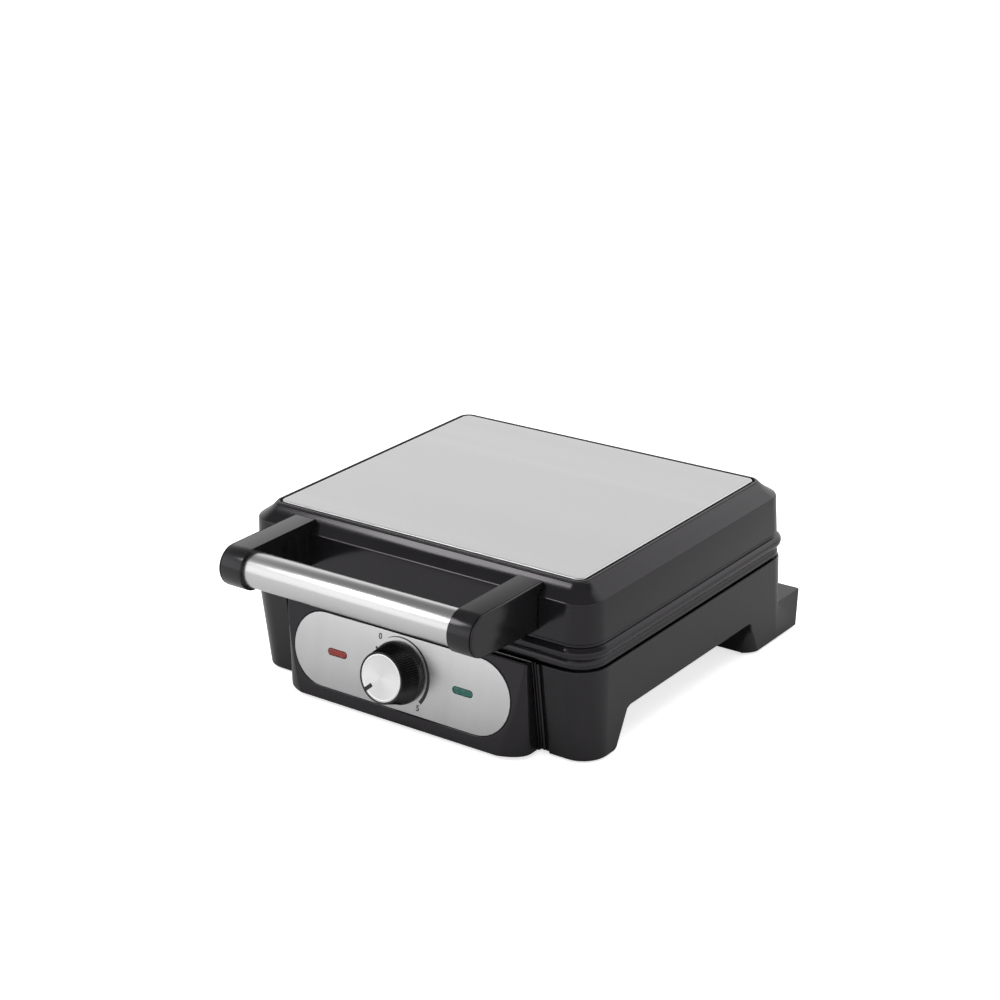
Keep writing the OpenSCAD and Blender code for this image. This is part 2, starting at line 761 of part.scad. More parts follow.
module reflector() {
    difference() {
        union() {
            plate(pan_hw, pan_hd, cast_r, -sheet_drop - sheet_t, sheet_t);
            difference() {
                plate(pan_hw, pan_hd, cast_r, -sheet_drop - sheet_t, pan_lip);
                plate(pan_hw - sheet_t, pan_hd - sheet_t, cast_r - sheet_t,
                    -sheet_drop - 2 * sheet_t, 3 * pan_lip);
            }
            corners(ear_x, ear_y)
                translate([-ear_w / 2, -ear_w / 2, -sheet_drop - sheet_t]) cube([ear_w, ear_w, sheet_t]);
        }
        corners(boss_x, boss_y) translate([0, 0, -sheet_drop - 2]) cylinder(r = screw_r + fit, h = 4);
        for (s = [-1, 1])
            translate([pan_hw - pan_slot, s * heater_y - heater_r - fit, -heater_drop - heater_r - fit / 2])
                cube([2 * pan_slot, 2 * (heater_r + fit), heater_drop]);
    }
}

// Screws up through a ledge into the plate's flange, and through the reflector's ears into its bosses.
module plate_screws(ledge) {
    corners(opening_hw + flange_lap / 2, flange_screw_y) {
        translate([0, 0, -flange_t - ledge - fit - head_h]) cylinder(r = head_r, h = head_h);
        translate([0, 0, -flange_t - ledge - 1.5 * fit]) cylinder(r = screw_r, h = ledge + flange_t - over);
    }
    corners(boss_x, boss_y) {
        translate([0, 0, -sheet_drop - sheet_t - fit / 2 - head_h]) cylinder(r = head_r, h = head_h);
        translate([0, 0, -sheet_drop - sheet_t - fit]) cylinder(r = screw_r, h = 2 * heater_r + 1);
    }
}

module lower() {
    in_frame() translate([0, 0, lower_rim]) children();
}

module upper() {
    in_frame() translate([0, 0, upper_rim]) mirror([0, 0, 1]) children();
}

module lower_waffle_plate() {
    color("#2c2c2e") lower() cast_plate();
}

module lower_heater() {
    color("#8c8c88") lower() heater();
}

module lower_reflector() {
    color("#bcbcc0") lower() reflector();
}

module lower_plate_screws() {
    color("silver") lower() plate_screws(ledge_t);
}

module upper_waffle_plate() {
    color("#2c2c2e") upper() cast_plate();
}

module upper_heater() {
    color("#8c8c88") upper() heater();
}

module upper_reflector() {
    color("#bcbcc0") upper() reflector();
}

module upper_plate_screws() {
    color("silver") upper() plate_screws(frame_ledge);
}

// ---- lid ----

function lid_wall_y(z) = shoulder_hd + lid_flare * (shoulder_z - z) / (shoulder_z - bead_top);

function lid_ring(z, hw, hd, r) = ring(z, hw, hd, hd, r);

module lid_skin() {
    r = shoulder_r + lid_flare;
    loft([lid_ring(shell_z + fit, wall_hw + bead_foot, wall_hd + bead_foot, r + bead_foot),
        lid_ring(bead_top - 3, wall_hw + bead_out, wall_hd + bead_out, r + bead_out),
        lid_ring(bead_top - 1.6, wall_hw + bead_out, wall_hd + bead_out, r + bead_out),
        lid_ring(bead_top, wall_hw, wall_hd, r),
        lid_ring(shoulder_z, shoulder_hw, shoulder_hd, shoulder_r),
        lid_ring(cove_z, cove_hw, cove_hd, lip_r + cove_run),
        lid_ring(lip_z, lip_hw, lip_hd, lip_r)]);
}

module lid_hollow() {
    w = lid_wall;
    loft([lid_ring(shell_z - over, wall_hw - w, wall_hd - w, shoulder_r + lid_flare - w),
        lid_ring(bead_top, wall_hw - w, wall_hd - w, shoulder_r + lid_flare - w),
        lid_ring(shoulder_z - w / 2, shoulder_hw - w, shoulder_hd - w, shoulder_r - w),
        lid_ring(lip_z - lid_top_t, cove_hw - w, cove_hd - w, lip_r)]);
}

module arm_screw_places() {
    x = arm_mid + arm_cover_t / 2;
    for (s = [-1, 1], k = screw_shares)
        translate([s * x, -shoulder_hd + lid_wall, arm_low + k * (shoulder_z - arm_low)]) children();
}

module strap_screw_places() {
    for (s = [-1, 1], k = [-1, 1])
        translate([s * hinge_x + k * strap_screw_pitch / 2, wall_hd + strap_t, (strap_foot + strap_top) / 2])
            children();
}

module lid_housing() {
    in_frame() color("#262628") difference() {
        lid_skin();
        lid_hollow();
        plate(plate_w / 2 + plate_gap, plate_d / 2 + plate_gap, plate_r + plate_gap,
            height - plate_t - fit, plate_t + over);
        arm_screw_places() translate([0, over, 0]) rotate([90, 0, 0])
            cylinder(r = screw_r + fit, h = 3 * lid_wall);
        strap_screw_places() rotate([90, 0, 0]) cylinder(r = screw_r + fit, h = strap_screw_l + over);
        translate([lead_lid_x, wall_hd + over, lead_lid_z]) rotate([90, 0, 0])
            cylinder(r = lead_r + fit, h = 3 * over + lid_wall + lid_flare);
    }
}

module lid_top_plate() {
    in_frame() color("#c8c8c8") plate(plate_w / 2, plate_d / 2, plate_r, height - plate_t, plate_t);
}

module lid_frame() {
    in_frame() color("#232325") difference() {
        plate(frame_hw, frame_hd, shoulder_r + lid_flare + frame_step, frame_z, frame_h);
        plate(opening_hw + fit, opening_hd + fit, cast_r, frame_z - over, frame_h + 2 * over);
        plate(cast_hw + 2 * fit, cast_hd + 2 * fit, cast_r, frame_z - over,
            upper_rim + flange_t + fit / 2 - frame_z + over);
        corners(opening_hw + flange_lap / 2, flange_screw_y)
            translate([0, 0, frame_z]) cylinder(r = screw_r + run_fit, h = frame_h + over);
    }
}

// ---- handle ----

module arm_profile(in) {
    r = arm_d / 2 - in;
    back = fit + in;
    top = arm_top - in;
    climb = cove_run * max(lip_z - top, 0) / cove_drop;
    polygon(concat(arc(tube_y, tube_z, r, 90), arc(tube_y, tube_z, r, 180), [
        [-lid_wall_y(arm_low) - back, arm_low + in], [-shoulder_hd - back, shoulder_z],
        [-cove_hd - back, cove_z + fit], [-lip_hd - climb - back, top]]));
}

module arm() {
    face = arm_span / 2;
    hollow_low = max(arm_low, tube_z - arm_d / 2) + arm_hollow_wall;
    hollow_l = -tube_y - arm_d / 2 - arm_web - shoulder_hd - arm_root;
    difference() {
        along_x(face + arm_cover_t + fit, arm_w - arm_cover_t - fit) arm_profile(0);
        translate([face, tube_y, tube_z]) rotate([0, 90, 0]) {
            cylinder(r = tube_r + fit, h = socket_l);
            cylinder(r = rod_r + run_fit, h = arm_w - rod_end + over);
        }
        translate([face, tube_y + arm_d / 2 + arm_web, hollow_low])
            cube([arm_w - arm_web, hollow_l, arm_top - arm_hollow_wall - hollow_low]);
        arm_screw_places() rotate([90, 0, 0]) cylinder(r = screw_r + run_fit, h = arm_screw_l + over);
    }
}

module arm_cover() {
    difference() {
        along_x(arm_span / 2, arm_cover_t) arm_profile(cover_inset);
        translate([arm_span / 2 - over, tube_y, tube_z]) rotate([0, 90, 0])
            cylinder(r = tube_r + fit, h = arm_cover_t + 2 * over);
    }
}

module handle_arm_right() {
    in_frame() color("#2a2a2c") arm();
}

module handle_arm_left() {
    in_frame() color("#2a2a2c") mirror([1, 0, 0]) arm();
}

module arm_cover_right() {
    in_frame() color("#2e2e30") arm_cover();
}

module arm_cover_left() {
    in_frame() color("#2e2e30") mirror([1, 0, 0]) arm_cover();
}

module handle_tube() {
    l = arm_span + 2 * socket_l - 2 * fit;
    in_frame() color("#c4c4c4") translate([-l / 2, tube_y, tube_z]) rotate([0, 90, 0]) difference() {
        cylinder(r = tube_r, h = l);
        translate([0, 0, -over]) cylinder(r = tube_r - tube_wall, h = l + 2 * over);
    }
}

module handle_rod() {
    l = arm_span + 2 * (arm_w - rod_end);
    in_frame() color("silver") translate([-l / 2, tube_y, tube_z]) rotate([0, 90, 0])
        cylinder(r = rod_r, h = l);
}

module arm_screws() {
    in_frame() color("silver") arm_screw_places() {
        translate([0, fit + head_h, 0]) rotate([90, 0, 0]) cylinder(r = head_r, h = head_h);
        translate([0, 2 * fit, 0]) rotate([90, 0, 0]) cylinder(r = screw_r, h = arm_screw_l);
    }
}

// ---- hinge ----

module strap_profile() {
    bead_y = wall_hd + bead_out + 2 * fit;
    polygon([[hinge_y, hinge_z], [bead_y, hinge_z], [bead_y, bead_top + 1],
        [lid_wall_y(bead_top) + fit, bead_top + 1.5],
        [lid_wall_y(strap_top) + fit, strap_top], [wall_hd + strap_t, strap_top],
        [wall_hd + strap_t, strap_foot], [hinge_y + knuckle_r * cos(30), hinge_z + knuckle_r * sin(30)]]);
}

module hinge_arm() {
    difference() {
        union() {
            along_x(hinge_x - hinge_arm_w / 2, hinge_arm_w) strap_profile();
            at_hinge(hinge_x - hinge_arm_w / 2) cylinder(r = knuckle_r, h = hinge_arm_w);
        }
        at_hinge(0) cylinder(r = pin_r + run_fit, h = rim_hw);
        strap_screw_places() translate([0, over, 0]) rotate([90, 0, 0])
            cylinder(r = screw_r + fit, h = strap_screw_l + over);
    }
}

module hinge_arm_right() {
    in_frame() color("#242426") hinge_arm();
}

module hinge_arm_left() {
    in_frame() color("#242426") mirror([1, 0, 0]) hinge_arm();
}

module hinge_pins() {
    l = hinge_arm_w + 2 * hinge_side + 2 * knuckle_w;
    in_frame() color("silver") mirrored() at_hinge(knuckle_in)
        difference() {
            cylinder(r = pin_r, h = l);
            translate([0, 0, -over]) cylinder(r = pin_bore_r, h = l + 2 * over);
        }
}

module hinge_screws() {
    in_frame() color("silver") strap_screw_places() {
        translate([0, fit + head_h, 0]) rotate([90, 0, 0]) cylinder(r = head_r, h = head_h);
        translate([0, 2 * fit, 0]) rotate([90, 0, 0]) cylinder(r = screw_r, h = strap_screw_l);
    }
}

// ---- wiring ----

module terminal_block() {
    in_frame() color("#e8e4da") translate([-block_l / 2, block_y, floor_z - fit])
        cube([block_l, block_w, block_h]);
}

module thermal_fuse() {
    in_frame() color("#d8d0c0") translate([-fuse_l / 2, fuse_y, fuse_z]) rotate([0, 90, 0])
        cylinder(r = fuse_r, h = fuse_l);
}

module cord_gland() {
    reach = gland_l - base_wall - gland_in;
    in_frame() color("#161616") translate([0, rim_hd + reach, gland_z]) rotate([90, 0, 0]) difference() {
        union() {
            cylinder(r = gland_body_r, h = gland_l);
            translate([0, 0, reach - gland_flange - fit]) cylinder(r = gland_body_r + 3, h = gland_flange);
        }
        translate([0, 0, -over]) cylinder(r = gland_bore_r, h = gland_l + 2 * over);
    }
}

// Every wire leaves its terminal straight, then runs to the next one.
module base_leads() {
    heater_out = end_x - lead_r + 2 * fit;
    in_frame() color("#c8c4b8") {
        // terminal block to thermal fuse, to thermostat
        wire([[-10, block_y - fit - lead_r, lead_z], [-10, block_y - 14, lead_z],
            [-22, fuse_y + 20, fuse_z - 2], [-fuse_l / 2 - 10, fuse_y + 2, fuse_z],
            [-fuse_l / 2 - 4, fuse_y, fuse_z], [-fuse_l / 2 - fit, fuse_y, fuse_z]], lead_r);
        wire([[fuse_l / 2 + fit, fuse_y, fuse_z], [fuse_l / 2 + 4, fuse_y, fuse_z],
            [fuse_l / 2 + 10, fuse_y - 4, fuse_z - 1], [24, 0, lead_z], [10, -60, lead_z],
            [6, -gap_front - 24, lead_z], [6, therm_y(lead_z), lead_z]], lead_r);
        // thermostat to lower element, and back to the block
        wire([[-6, therm_y(lead_z - 4), lead_z - 4], [-6, therm_y(lead_z) + 10, lead_z - 4],
            [60, therm_y(lead_z) + 9, lead_z - 2],
            [boss_x - 20, -boss_y - 12, lead_z], [end_x + 2, -boss_y - 2, lead_z + 4],
            [end_x + 6, -heater_y - 10, low_end_z], [end_x + 4, -heater_y, low_end_z],
            [heater_out, -heater_y, low_end_z]], lead_r);
        wire([[heater_out, heater_y, low_end_z], [end_x + 4, heater_y, low_end_z],
            [end_x + 6, heater_y + 10, low_end_z], [end_x + 2, boss_y + 2, lead_z + 4],
            [boss_x - 20, boss_y + 12, lead_z], [60, block_y + block_w + 3, lead_z],
            [block_l / 2 + 12, block_y + 7, lead_z - 1], [block_l / 2 + 5, block_y + 6, lead_z - 1],
            [block_l / 2 + fit, block_y + 6, lead_z - 1]], lead_r);
        // thermostat to each lamp
        mirrored() wire([[8, therm_y(panel_z - 8), panel_z - 8], [20, therm_y(panel_z) + 5, panel_z - 4],
            [lens_x - 10, lamp_y(panel_z) + 6, panel_z - 2], [lens_x, lamp_y(panel_z) + 2, panel_z - 1],
            [lens_x, lamp_y(panel_z - 1) - lead_r, panel_z - 1]], lead_r);
        // terminal block to the hollow hinge pin
        wire([[10, block_y + block_w + fit, lead_z], [10, block_y + block_w + 4, lead_z],
            [15, block_y + block_w + 8, lead_z + 2], [lead_hole_x - 3, rim_hd - 8, lead_hole_z - 6],
            [lead_hole_x, rim_hd - 6, lead_hole_z], [lead_hole_x, rim_hd + 3, lead_hole_z],
            [lead_hole_x + 3, hinge_y - 1.5, hinge_z - 4.5], [lead_hole_x + 10, hinge_y, hinge_z - 0.6],
            [lead_hole_x + 18, hinge_y, hinge_z], [hinge_x - fit, hinge_y, hinge_z]], lead_r);
    }
}

module lid_leads() {
    heater_out = end_x - lead_r + 2 * fit;
    in_frame() color("#c8c4b8") {
        // hinge pin, lid wall, upper element
        wire([[hinge_x + fit, hinge_y, hinge_z], [knuckle_out + knuckle_w + 1, hinge_y, hinge_z],
            [knuckle_out + knuckle_w + 5, hinge_y, hinge_z + 0.6], [lead_lid_x - 4, hinge_y - 1, hinge_z + 4],
            [lead_lid_x, hinge_y - 3, bead_top - 3], [lead_lid_x, hinge_y - 4, lead_lid_z - 5],
            [lead_lid_x, wall_hd + 4, lead_lid_z], [lead_lid_x, wall_hd - 6, lead_lid_z],
            [lead_lid_x + 2, heater_y + 30, lead_lid_z - 1], [end_x + 6, heater_y + 14, high_end_z + 2],
            [end_x + 6, heater_y + 4, high_end_z], [end_x + 2, heater_y, high_end_z],
            [heater_out, heater_y, high_end_z]], lead_r);
        // the element's other end joins the same loom
        wire([[heater_out, -heater_y, high_end_z], [end_x + 2, -heater_y, high_end_z],
            [end_x + 5, -heater_y + 4, high_end_z], [end_x + 8, -heater_y + 30, high_end_z + 4],
            [end_x + 8, heater_y - 10, high_end_z + 6], [lead_lid_x + 3, heater_y + 28, lead_lid_z + 2.4],
            [lead_lid_x, wall_hd - 7, lead_lid_z + 1]], lead_r);
    }
}

module sensor_capillary() {
    under = lower_rim - cast_t - fit;
    bulb_y = -heater_y - heater_r - 5;
    in_frame() color("#b87333") {
        wire([[-3, therm_y(panel_z + 3) - lead_r + capillary_r, panel_z + 3],
            [-2, therm_y(panel_z) + 6, panel_z + 8],
            [0, -pan_hd - 16, under - 1.6], [6, -pan_hd - 8, under - 1.2], [14, bulb_y - 6, under - 1.2],
            [14, bulb_y - 1, under - 1.6], [8, bulb_y, under - bulb_r]], capillary_r);
        translate([9 - bulb_l, bulb_y, under - bulb_r]) rotate([0, 90, 0]) cylinder(r = bulb_r, h = bulb_l);
    }
}

base_housing();
bottom_cover();
control_housing();
control_panel();
power_lens();
ready_lens();
indicator_lamps();
lamp_holders();
lower_waffle_plate();
lower_heater();
lower_reflector();
lower_plate_screws();
thermostat();
thermostat_bracket();
thermostat_nut();
sensor_capillary();
thermal_fuse();
terminal_block();
base_leads();
cord_gland();
rubber_feet();
bottom_screws();
hinge_pins();
lid_housing();
lid_top_plate();
lid_frame();
upper_waffle_plate();
upper_heater();
upper_reflector();
upper_plate_screws();
lid_leads();
handle_arm_left();
handle_arm_right();
arm_cover_left();
arm_cover_right();
handle_tube();
handle_rod();
arm_screws();
hinge_arm_left();
hinge_arm_right();
hinge_screws();
knob_body();
knob_cap();
thermostat_shaft();
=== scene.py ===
# %% [markdown]
# # A four-slice waffle maker, dressed around its frame
# The machine's moving model is already made: every solid has its real place, size and joint. This file gives it
# its looks. Each visible piece is built again with the roundings, grooves and finish of the real one, and the
# pieces inside keep their solids and get a finish of their own. Lengths are in millimetres from the middle of the
# body, as a maker would read them off the object, and become metres when a mesh is made.

# %% Load the frame
import bmesh
import bpy
import json
import math
import numpy as np
from mathutils import Matrix, Vector


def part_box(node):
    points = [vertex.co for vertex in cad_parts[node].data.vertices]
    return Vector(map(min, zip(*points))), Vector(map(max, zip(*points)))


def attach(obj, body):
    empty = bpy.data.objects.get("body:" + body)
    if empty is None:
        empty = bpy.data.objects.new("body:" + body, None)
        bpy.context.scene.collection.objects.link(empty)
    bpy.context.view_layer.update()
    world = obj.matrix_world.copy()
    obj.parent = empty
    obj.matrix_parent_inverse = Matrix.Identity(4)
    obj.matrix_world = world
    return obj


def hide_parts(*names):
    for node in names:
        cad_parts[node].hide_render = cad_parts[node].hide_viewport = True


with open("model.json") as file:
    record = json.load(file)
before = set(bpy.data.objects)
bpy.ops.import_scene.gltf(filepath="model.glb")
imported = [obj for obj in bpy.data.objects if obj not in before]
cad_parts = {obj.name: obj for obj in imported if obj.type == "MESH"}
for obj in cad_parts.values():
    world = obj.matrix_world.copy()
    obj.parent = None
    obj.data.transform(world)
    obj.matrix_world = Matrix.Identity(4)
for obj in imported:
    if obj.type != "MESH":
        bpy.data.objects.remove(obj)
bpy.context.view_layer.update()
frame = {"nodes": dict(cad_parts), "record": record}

# %% [markdown]
# ## Driving sizes
# A piece that is rebuilt has to stay where its solid is, so its sizes are read from the frame and only the small
# ones, such as a groove's width, are typed. The body's middle lies a little behind the frame's origin, because the
# handle reaches further forward than the feet reach back.

# %% Sizes read from the frame
MM = 0.001


def span(node):
    """Lowest and highest corner of a node, in millimetres."""
    low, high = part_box(node)
    return low / MM, high / MM


plate_low, plate_high = span("lid_top_plate")
MID_Y = (plate_low.y + plate_high.y) / 2
TOP_Z = plate_high.z
PLATE_HW = plate_high.x
PLATE_HD = plate_high.y - MID_Y
SEAM_Z = (span("lower_waffle_plate")[1].z + span("upper_waffle_plate")[0].z) / 2
SHELL_Z = span("lid_frame")[1].z
FRAME_U = span("lid_frame")[1].x - PLATE_HW
BEAD_U = span("lid_housing")[1].x - PLATE_HW
RIM_HW = span("base_housing")[1].x
RIM_FRONT = MID_Y - span("base_housing")[0].y
HEEL_Y = span("base_housing")[1].y - MID_Y
FOOT_Z = span("base_housing")[0].z
TUBE_LOW, TUBE_HIGH = span("handle_tube")
TUBE_Y = (TUBE_LOW.y + TUBE_HIGH.y) / 2 - MID_Y
TUBE_Z = (TUBE_LOW.z + TUBE_HIGH.z) / 2
TUBE_R = (TUBE_HIGH.z - TUBE_LOW.z) / 2
ARM_LOW, ARM_HIGH = span("handle_arm_right")
ARM_R = TUBE_Y + MID_Y - ARM_LOW.y
HINGE_Y = (span("hinge_pins")[0].y + span("hinge_pins")[1].y) / 2 - MID_Y
HINGE_Z = (span("hinge_pins")[0].z + span("hinge_pins")[1].z) / 2
print(f"top plate {2 * PLATE_HW:.0f} x {2 * PLATE_HD:.0f}, height {TOP_Z:.1f}, seam at {SEAM_Z:.1f} mm")

# %% [markdown]
# ## Camera
# The viewpoint is a real one: a long lens a metre and a half away, 37 degrees round from the front and 21 degrees
# up. The camera's three axes are written straight into its matrix, which keeps the small roll of a hand-held shot
# without any tracking constraint.

# %% Camera
AZIMUTH, ELEVATION, ROLL = (math.radians(v) for v in (36.74, 21.26, -1.21))
EYE = (0.85725, -1.14786, 0.67834)
right = Vector((math.cos(AZIMUTH), math.sin(AZIMUTH), 0))
level = Vector((-math.sin(AZIMUTH), math.cos(AZIMUTH), 0))
ahead = level * math.cos(ELEVATION) - Vector((0, 0, math.sin(ELEVATION)))
up = right.cross(ahead)
cam_x = right * math.cos(ROLL) + up * math.sin(ROLL)
cam_y = up * math.cos(ROLL) - right * math.sin(ROLL)
camera_data = bpy.data.cameras.new("camera")
camera_data.sensor_width = 36
camera_data.lens = 82.086
camera_data.clip_end = 50
camera = bpy.data.objects.new("camera", camera_data)
turn = Matrix((cam_x, cam_y, -ahead)).transposed().to_4x4()
camera.matrix_world = Matrix.Translation(EYE) @ turn
bpy.context.scene.collection.objects.link(camera)
bpy.context.scene.camera = camera
print("camera: lens", camera_data.lens, "mm")

# %% [markdown]
# ## Mesh helpers
# Moulded housings are rounded rectangles that change size as they rise, so most of them are lofts: one closed ring
# of points for every height, joined by quads. A corner of the section is eased with a short curve before the rings
# are made, which gives true roundings that catch the light, with no modifier at all.

# %% Rings and lofts
CORNER_STEPS = 10
WELD = 1e-6


def ring(hw, front, rear, r, z, back_r=None):
    """Rounded rectangle, counter-clockwise seen from above; back_r is the rear corners' own radius."""
    b = r if back_r is None else back_r
    corners = ((hw - b, rear - b, b, 0), (b - hw, rear - b, b, 90), (r - hw, r - front, r, 180),
               (hw - r, r - front, r, 270))
    points = []
    for cx, cy, radius, start in corners:
        for k in range(CORNER_STEPS + 1):
            a = math.radians(start + 90 * k / CORNER_STEPS)
            points.append((cx + radius * math.cos(a), cy + radius * math.sin(a), z))
    return points


def eased(section, steps=4, closed=False):
    """Section corners (..., ease) turned into short curves; the last number of each is how much is cut back."""
    out = []
    for i, corner in enumerate(section):
        p, ease = np.array(corner[:-1], float), corner[-1]
        if ease == 0 or (not closed and i in (0, len(section) - 1)):
            out.append(p)
            continue
        ends = []
        for q in (section[i - 1], section[(i + 1) % len(section)]):
            d = np.array(q[:-1], float) - p
            ends.append(p + d * min(ease / max(np.hypot(d[0], d[-1]), 1e-6), 0.48))
        for t in np.linspace(0, 1, steps + 1):
            out.append((1 - t) ** 2 * ends[0] + 2 * t * (1 - t) * p + t * t * ends[1])
    return out


def loft(rings, caps=(True, True), closed=False):
    """Quads between rings of equal count."""
    n, m = len(rings[0]), len(rings)
    faces = [(j % m * n + i, j % m * n + (i + 1) % n, (j + 1) % m * n + (i + 1) % n, (j + 1) % m * n + i)
             for j in range(m if closed else m - 1) for i in range(n)]
    if caps[0] and not closed:
        faces.append(tuple(reversed(range(n))))
    if caps[1] and not closed:
        faces.append(tuple((m - 1) * n + i for i in range(n)))
    return [p for r in rings for p in r], faces


def placed(name, data):
    """New object in the scene."""
    obj = bpy.data.objects.new(name, data)
    bpy.context.scene.collection.objects.link(obj)
    return obj


def outward(mesh, weld=0.0):
    """Welds points that lie on each other and turns every face outward."""
    build = bmesh.new()
    build.from_mesh(mesh)
    if weld:
        bmesh.ops.remove_doubles(build, verts=build.verts, dist=weld)
    bmesh.ops.recalc_face_normals(build, faces=build.faces)
    build.to_mesh(mesh)
    build.free()


def mesh_of(name, verts, faces):
    """Mesh object in the frame, from millimetres in body axes."""
    mesh = bpy.data.meshes.new(name)
    mesh.from_pydata([(x * MM, (y + MID_Y) * MM, z * MM) for x, y, z in verts], [], faces)
    outward(mesh, WELD)
    return placed(name, mesh)


def lofted(name, rings, **ends):
    return mesh_of(name, *loft(rings, **ends))


def at_origin(obj):
    """Takes back the shift to the body's middle, for a piece that is turned before it is put in place."""
    obj.data.transform(Matrix.Translation((0, -MID_Y * MM, 0)))
    return obj


def prism(name, outline, low, high, axis="x"):
    """Outline pushed along an axis: (y, z) along x, (x, z) along y, (x, y) along z."""
    place = {"x": lambda a, b, t: (t, a, b), "y": lambda a, b, t: (a, t, b), "z": lambda a, b, t: (a, b, t)}[axis]
    rings = [[place(a, b, t) for a, b in outline] for t in (low, high)]
    return lofted(name, rings)


def block(name, low, high):
    return prism(name, [(low[0], low[1]), (high[0], low[1]), (high[0], high[1]), (low[0], high[1])],
                 low[2], high[2], "z")


def beside(side, a, b):
    """Low and high x of a span on one side of the machine, -1 left or 1 right."""
    return sorted((side * a, side * b))


def arc(cx, cy, r, start, end, steps=12):
    angles = [math.radians(start + (end - start) * k / steps) for k in range(steps + 1)]
    return [(cx + r * math.cos(a), cy + r * math.sin(a)) for a in angles]


def circle(cx, cy, r, steps=24):
    return arc(cx, cy, r, 0, 360 - 360 / steps, steps - 1)


def turned(section, steps=64, teeth=None):
    """Rings of a section (radius, height, ease) turned round z; teeth(i, r, z) may change a radius."""
    rings = []
    for r, z in eased(section, 3):
        radii = [teeth(i, r, z) if teeth else r for i in range(steps)]
        angles = [2 * math.pi * i / steps for i in range(steps)]
        rings.append([(q * math.cos(a), q * math.sin(a), z) for q, a in zip(radii, angles)])
    return rings


print("helpers: rings, eased sections, lofts, prisms")

# %% [markdown]
# Where a housing is cut or joined, a boolean does the work and its result is kept as plain mesh, so no cutter stays
# in the scene. The fresh edges are then eased by a bevel that only takes sharp angles, and weighted normals keep
# the flat walls flat.

# %% Cutting, joining and softening
def applied(obj):
    """Keeps what the modifiers give as the object's own mesh."""
    graph = bpy.context.evaluated_depsgraph_get()
    mesh = bpy.data.meshes.new_from_object(obj.evaluated_get(graph))
    obj.modifiers.clear()
    obj.data = mesh
    mesh.name = obj.name
    return obj


def combine(obj, others, operation="DIFFERENCE"):
    for other in others:
        mod = obj.modifiers.new(operation.lower(), "BOOLEAN")
        mod.operation = operation
        mod.solver = "EXACT"
        mod.object = other
        applied(obj)
        bpy.data.objects.remove(other)
    return obj


def smooth(obj, angle=None):
    """Smooth shading, with edges kept sharp above an angle."""
    for polygon in obj.data.polygons:
        polygon.use_smooth = True
    if angle:
        obj.data.set_sharp_from_angle(angle=math.radians(angle))
    return obj


def soften(obj, width, segments=2, angle=40, clamp=False):
    """Edges rounded where they are sharper than an angle, and clean shading."""
    bevel = obj.modifiers.new("edges", "BEVEL")
    bevel.width, bevel.segments = width * MM, segments
    bevel.limit_method, bevel.angle_limit = "ANGLE", math.radians(angle)
    bevel.harden_normals, bevel.use_clamp_overlap = True, clamp
    obj.modifiers.new("normals", "WEIGHTED_NORMAL").keep_sharp = True
    return smooth(obj)


def join(name, objects):
    """Several objects as one."""
    build = bmesh.new()
    for obj in objects:
        obj.data.transform(obj.matrix_world)
        build.from_mesh(obj.data)
    mesh = bpy.data.meshes.new(name)
    build.to_mesh(mesh)
    build.free()
    for obj in objects:
        bpy.data.objects.remove(obj)
    return placed(name, mesh)


FINISHES = {}


def dress(obj, body, slot, *nodes, finish=None):
    """The piece rides its body, wears its slot's finish and stands for its nodes."""
    obj.data.materials.clear()
    obj.data.materials.append(FINISHES[finish or slot])
    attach(obj, body)
    if nodes:
        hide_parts(*nodes)
    print(f"{obj.name}: {len(obj.data.vertices)} points, on {body}, {slot}")
    return obj


print("helpers: booleans, bevels, joining, dressing")

# %% [markdown]
# ## Finishes
# Small effects that several finishes share are node groups. Each is built once and gives out only a mask or a
# height, and the material decides what it does with it. All of them read object coordinates, which are metres here,
# so a grain of half a millimetre stays that size on every piece.

# %% Node helpers
def put(tree, kind, links=None, **settings):
    """One shader node, with its settings, and its sockets linked or set."""
    node = tree.nodes.new("ShaderNode" + kind)
    for key, value in settings.items():
        setattr(node, key, value)
    for key, value in (links or {}).items():
        if isinstance(value, bpy.types.NodeSocket):
            tree.links.new(value, node.inputs[key])
        else:
            node.inputs[key].default_value = value
    return node


def reckon(tree, operation, a, b, kind="Math"):
    """Number from two sockets or values."""
    return put(tree, kind, {0: a, 1: b}, operation=operation).outputs["Value"]


def object_place(tree):
    return put(tree, "TexCoord").outputs["Object"]


def noise(tree, place, scale, detail, roughness=0.5):
    return put(tree, "TexNoise", {"Vector": place, "Scale": scale, "Detail": detail,
                                  "Roughness": roughness}).outputs[0]


def group_tree(name, inputs, outputs):
    """Empty node group with float inputs (name, default) and float outputs."""
    tree = bpy.data.node_groups.new(name, "ShaderNodeTree")
    for label, default in inputs:
        socket = tree.interface.new_socket(label, in_out="INPUT", socket_type="NodeSocketFloat")
        socket.default_value = default
    for label in outputs:
        tree.interface.new_socket(label, in_out="OUTPUT", socket_type="NodeSocketFloat")
    return tree, tree.nodes.new("NodeGroupInput").outputs, tree.nodes.new("NodeGroupOutput").inputs


def use(tree, group, **values):
    """Places a group in a tree and gives its outputs."""
    node = tree.nodes.new("ShaderNodeGroup")
    node.node_tree = group
    for key, value in values.items():
        node.inputs[key].default_value = value
    return node.outputs


# %% [markdown]
# **Grain** is the fine texture of a mould: a small noise for the height and a broad one that lets the colour drift.
# ** Brush** is the directional scratch of satin steel: the same noise, stretched by scaling one axis much more than
# the others. **Wear** finds raised edges from the mesh itself and breaks them up, for a faint lightening of corners:
# partly the wear that handling leaves, partly a painted highlight where edges catch the light.

# %% Shared effects
PER_METRE = 1000.0

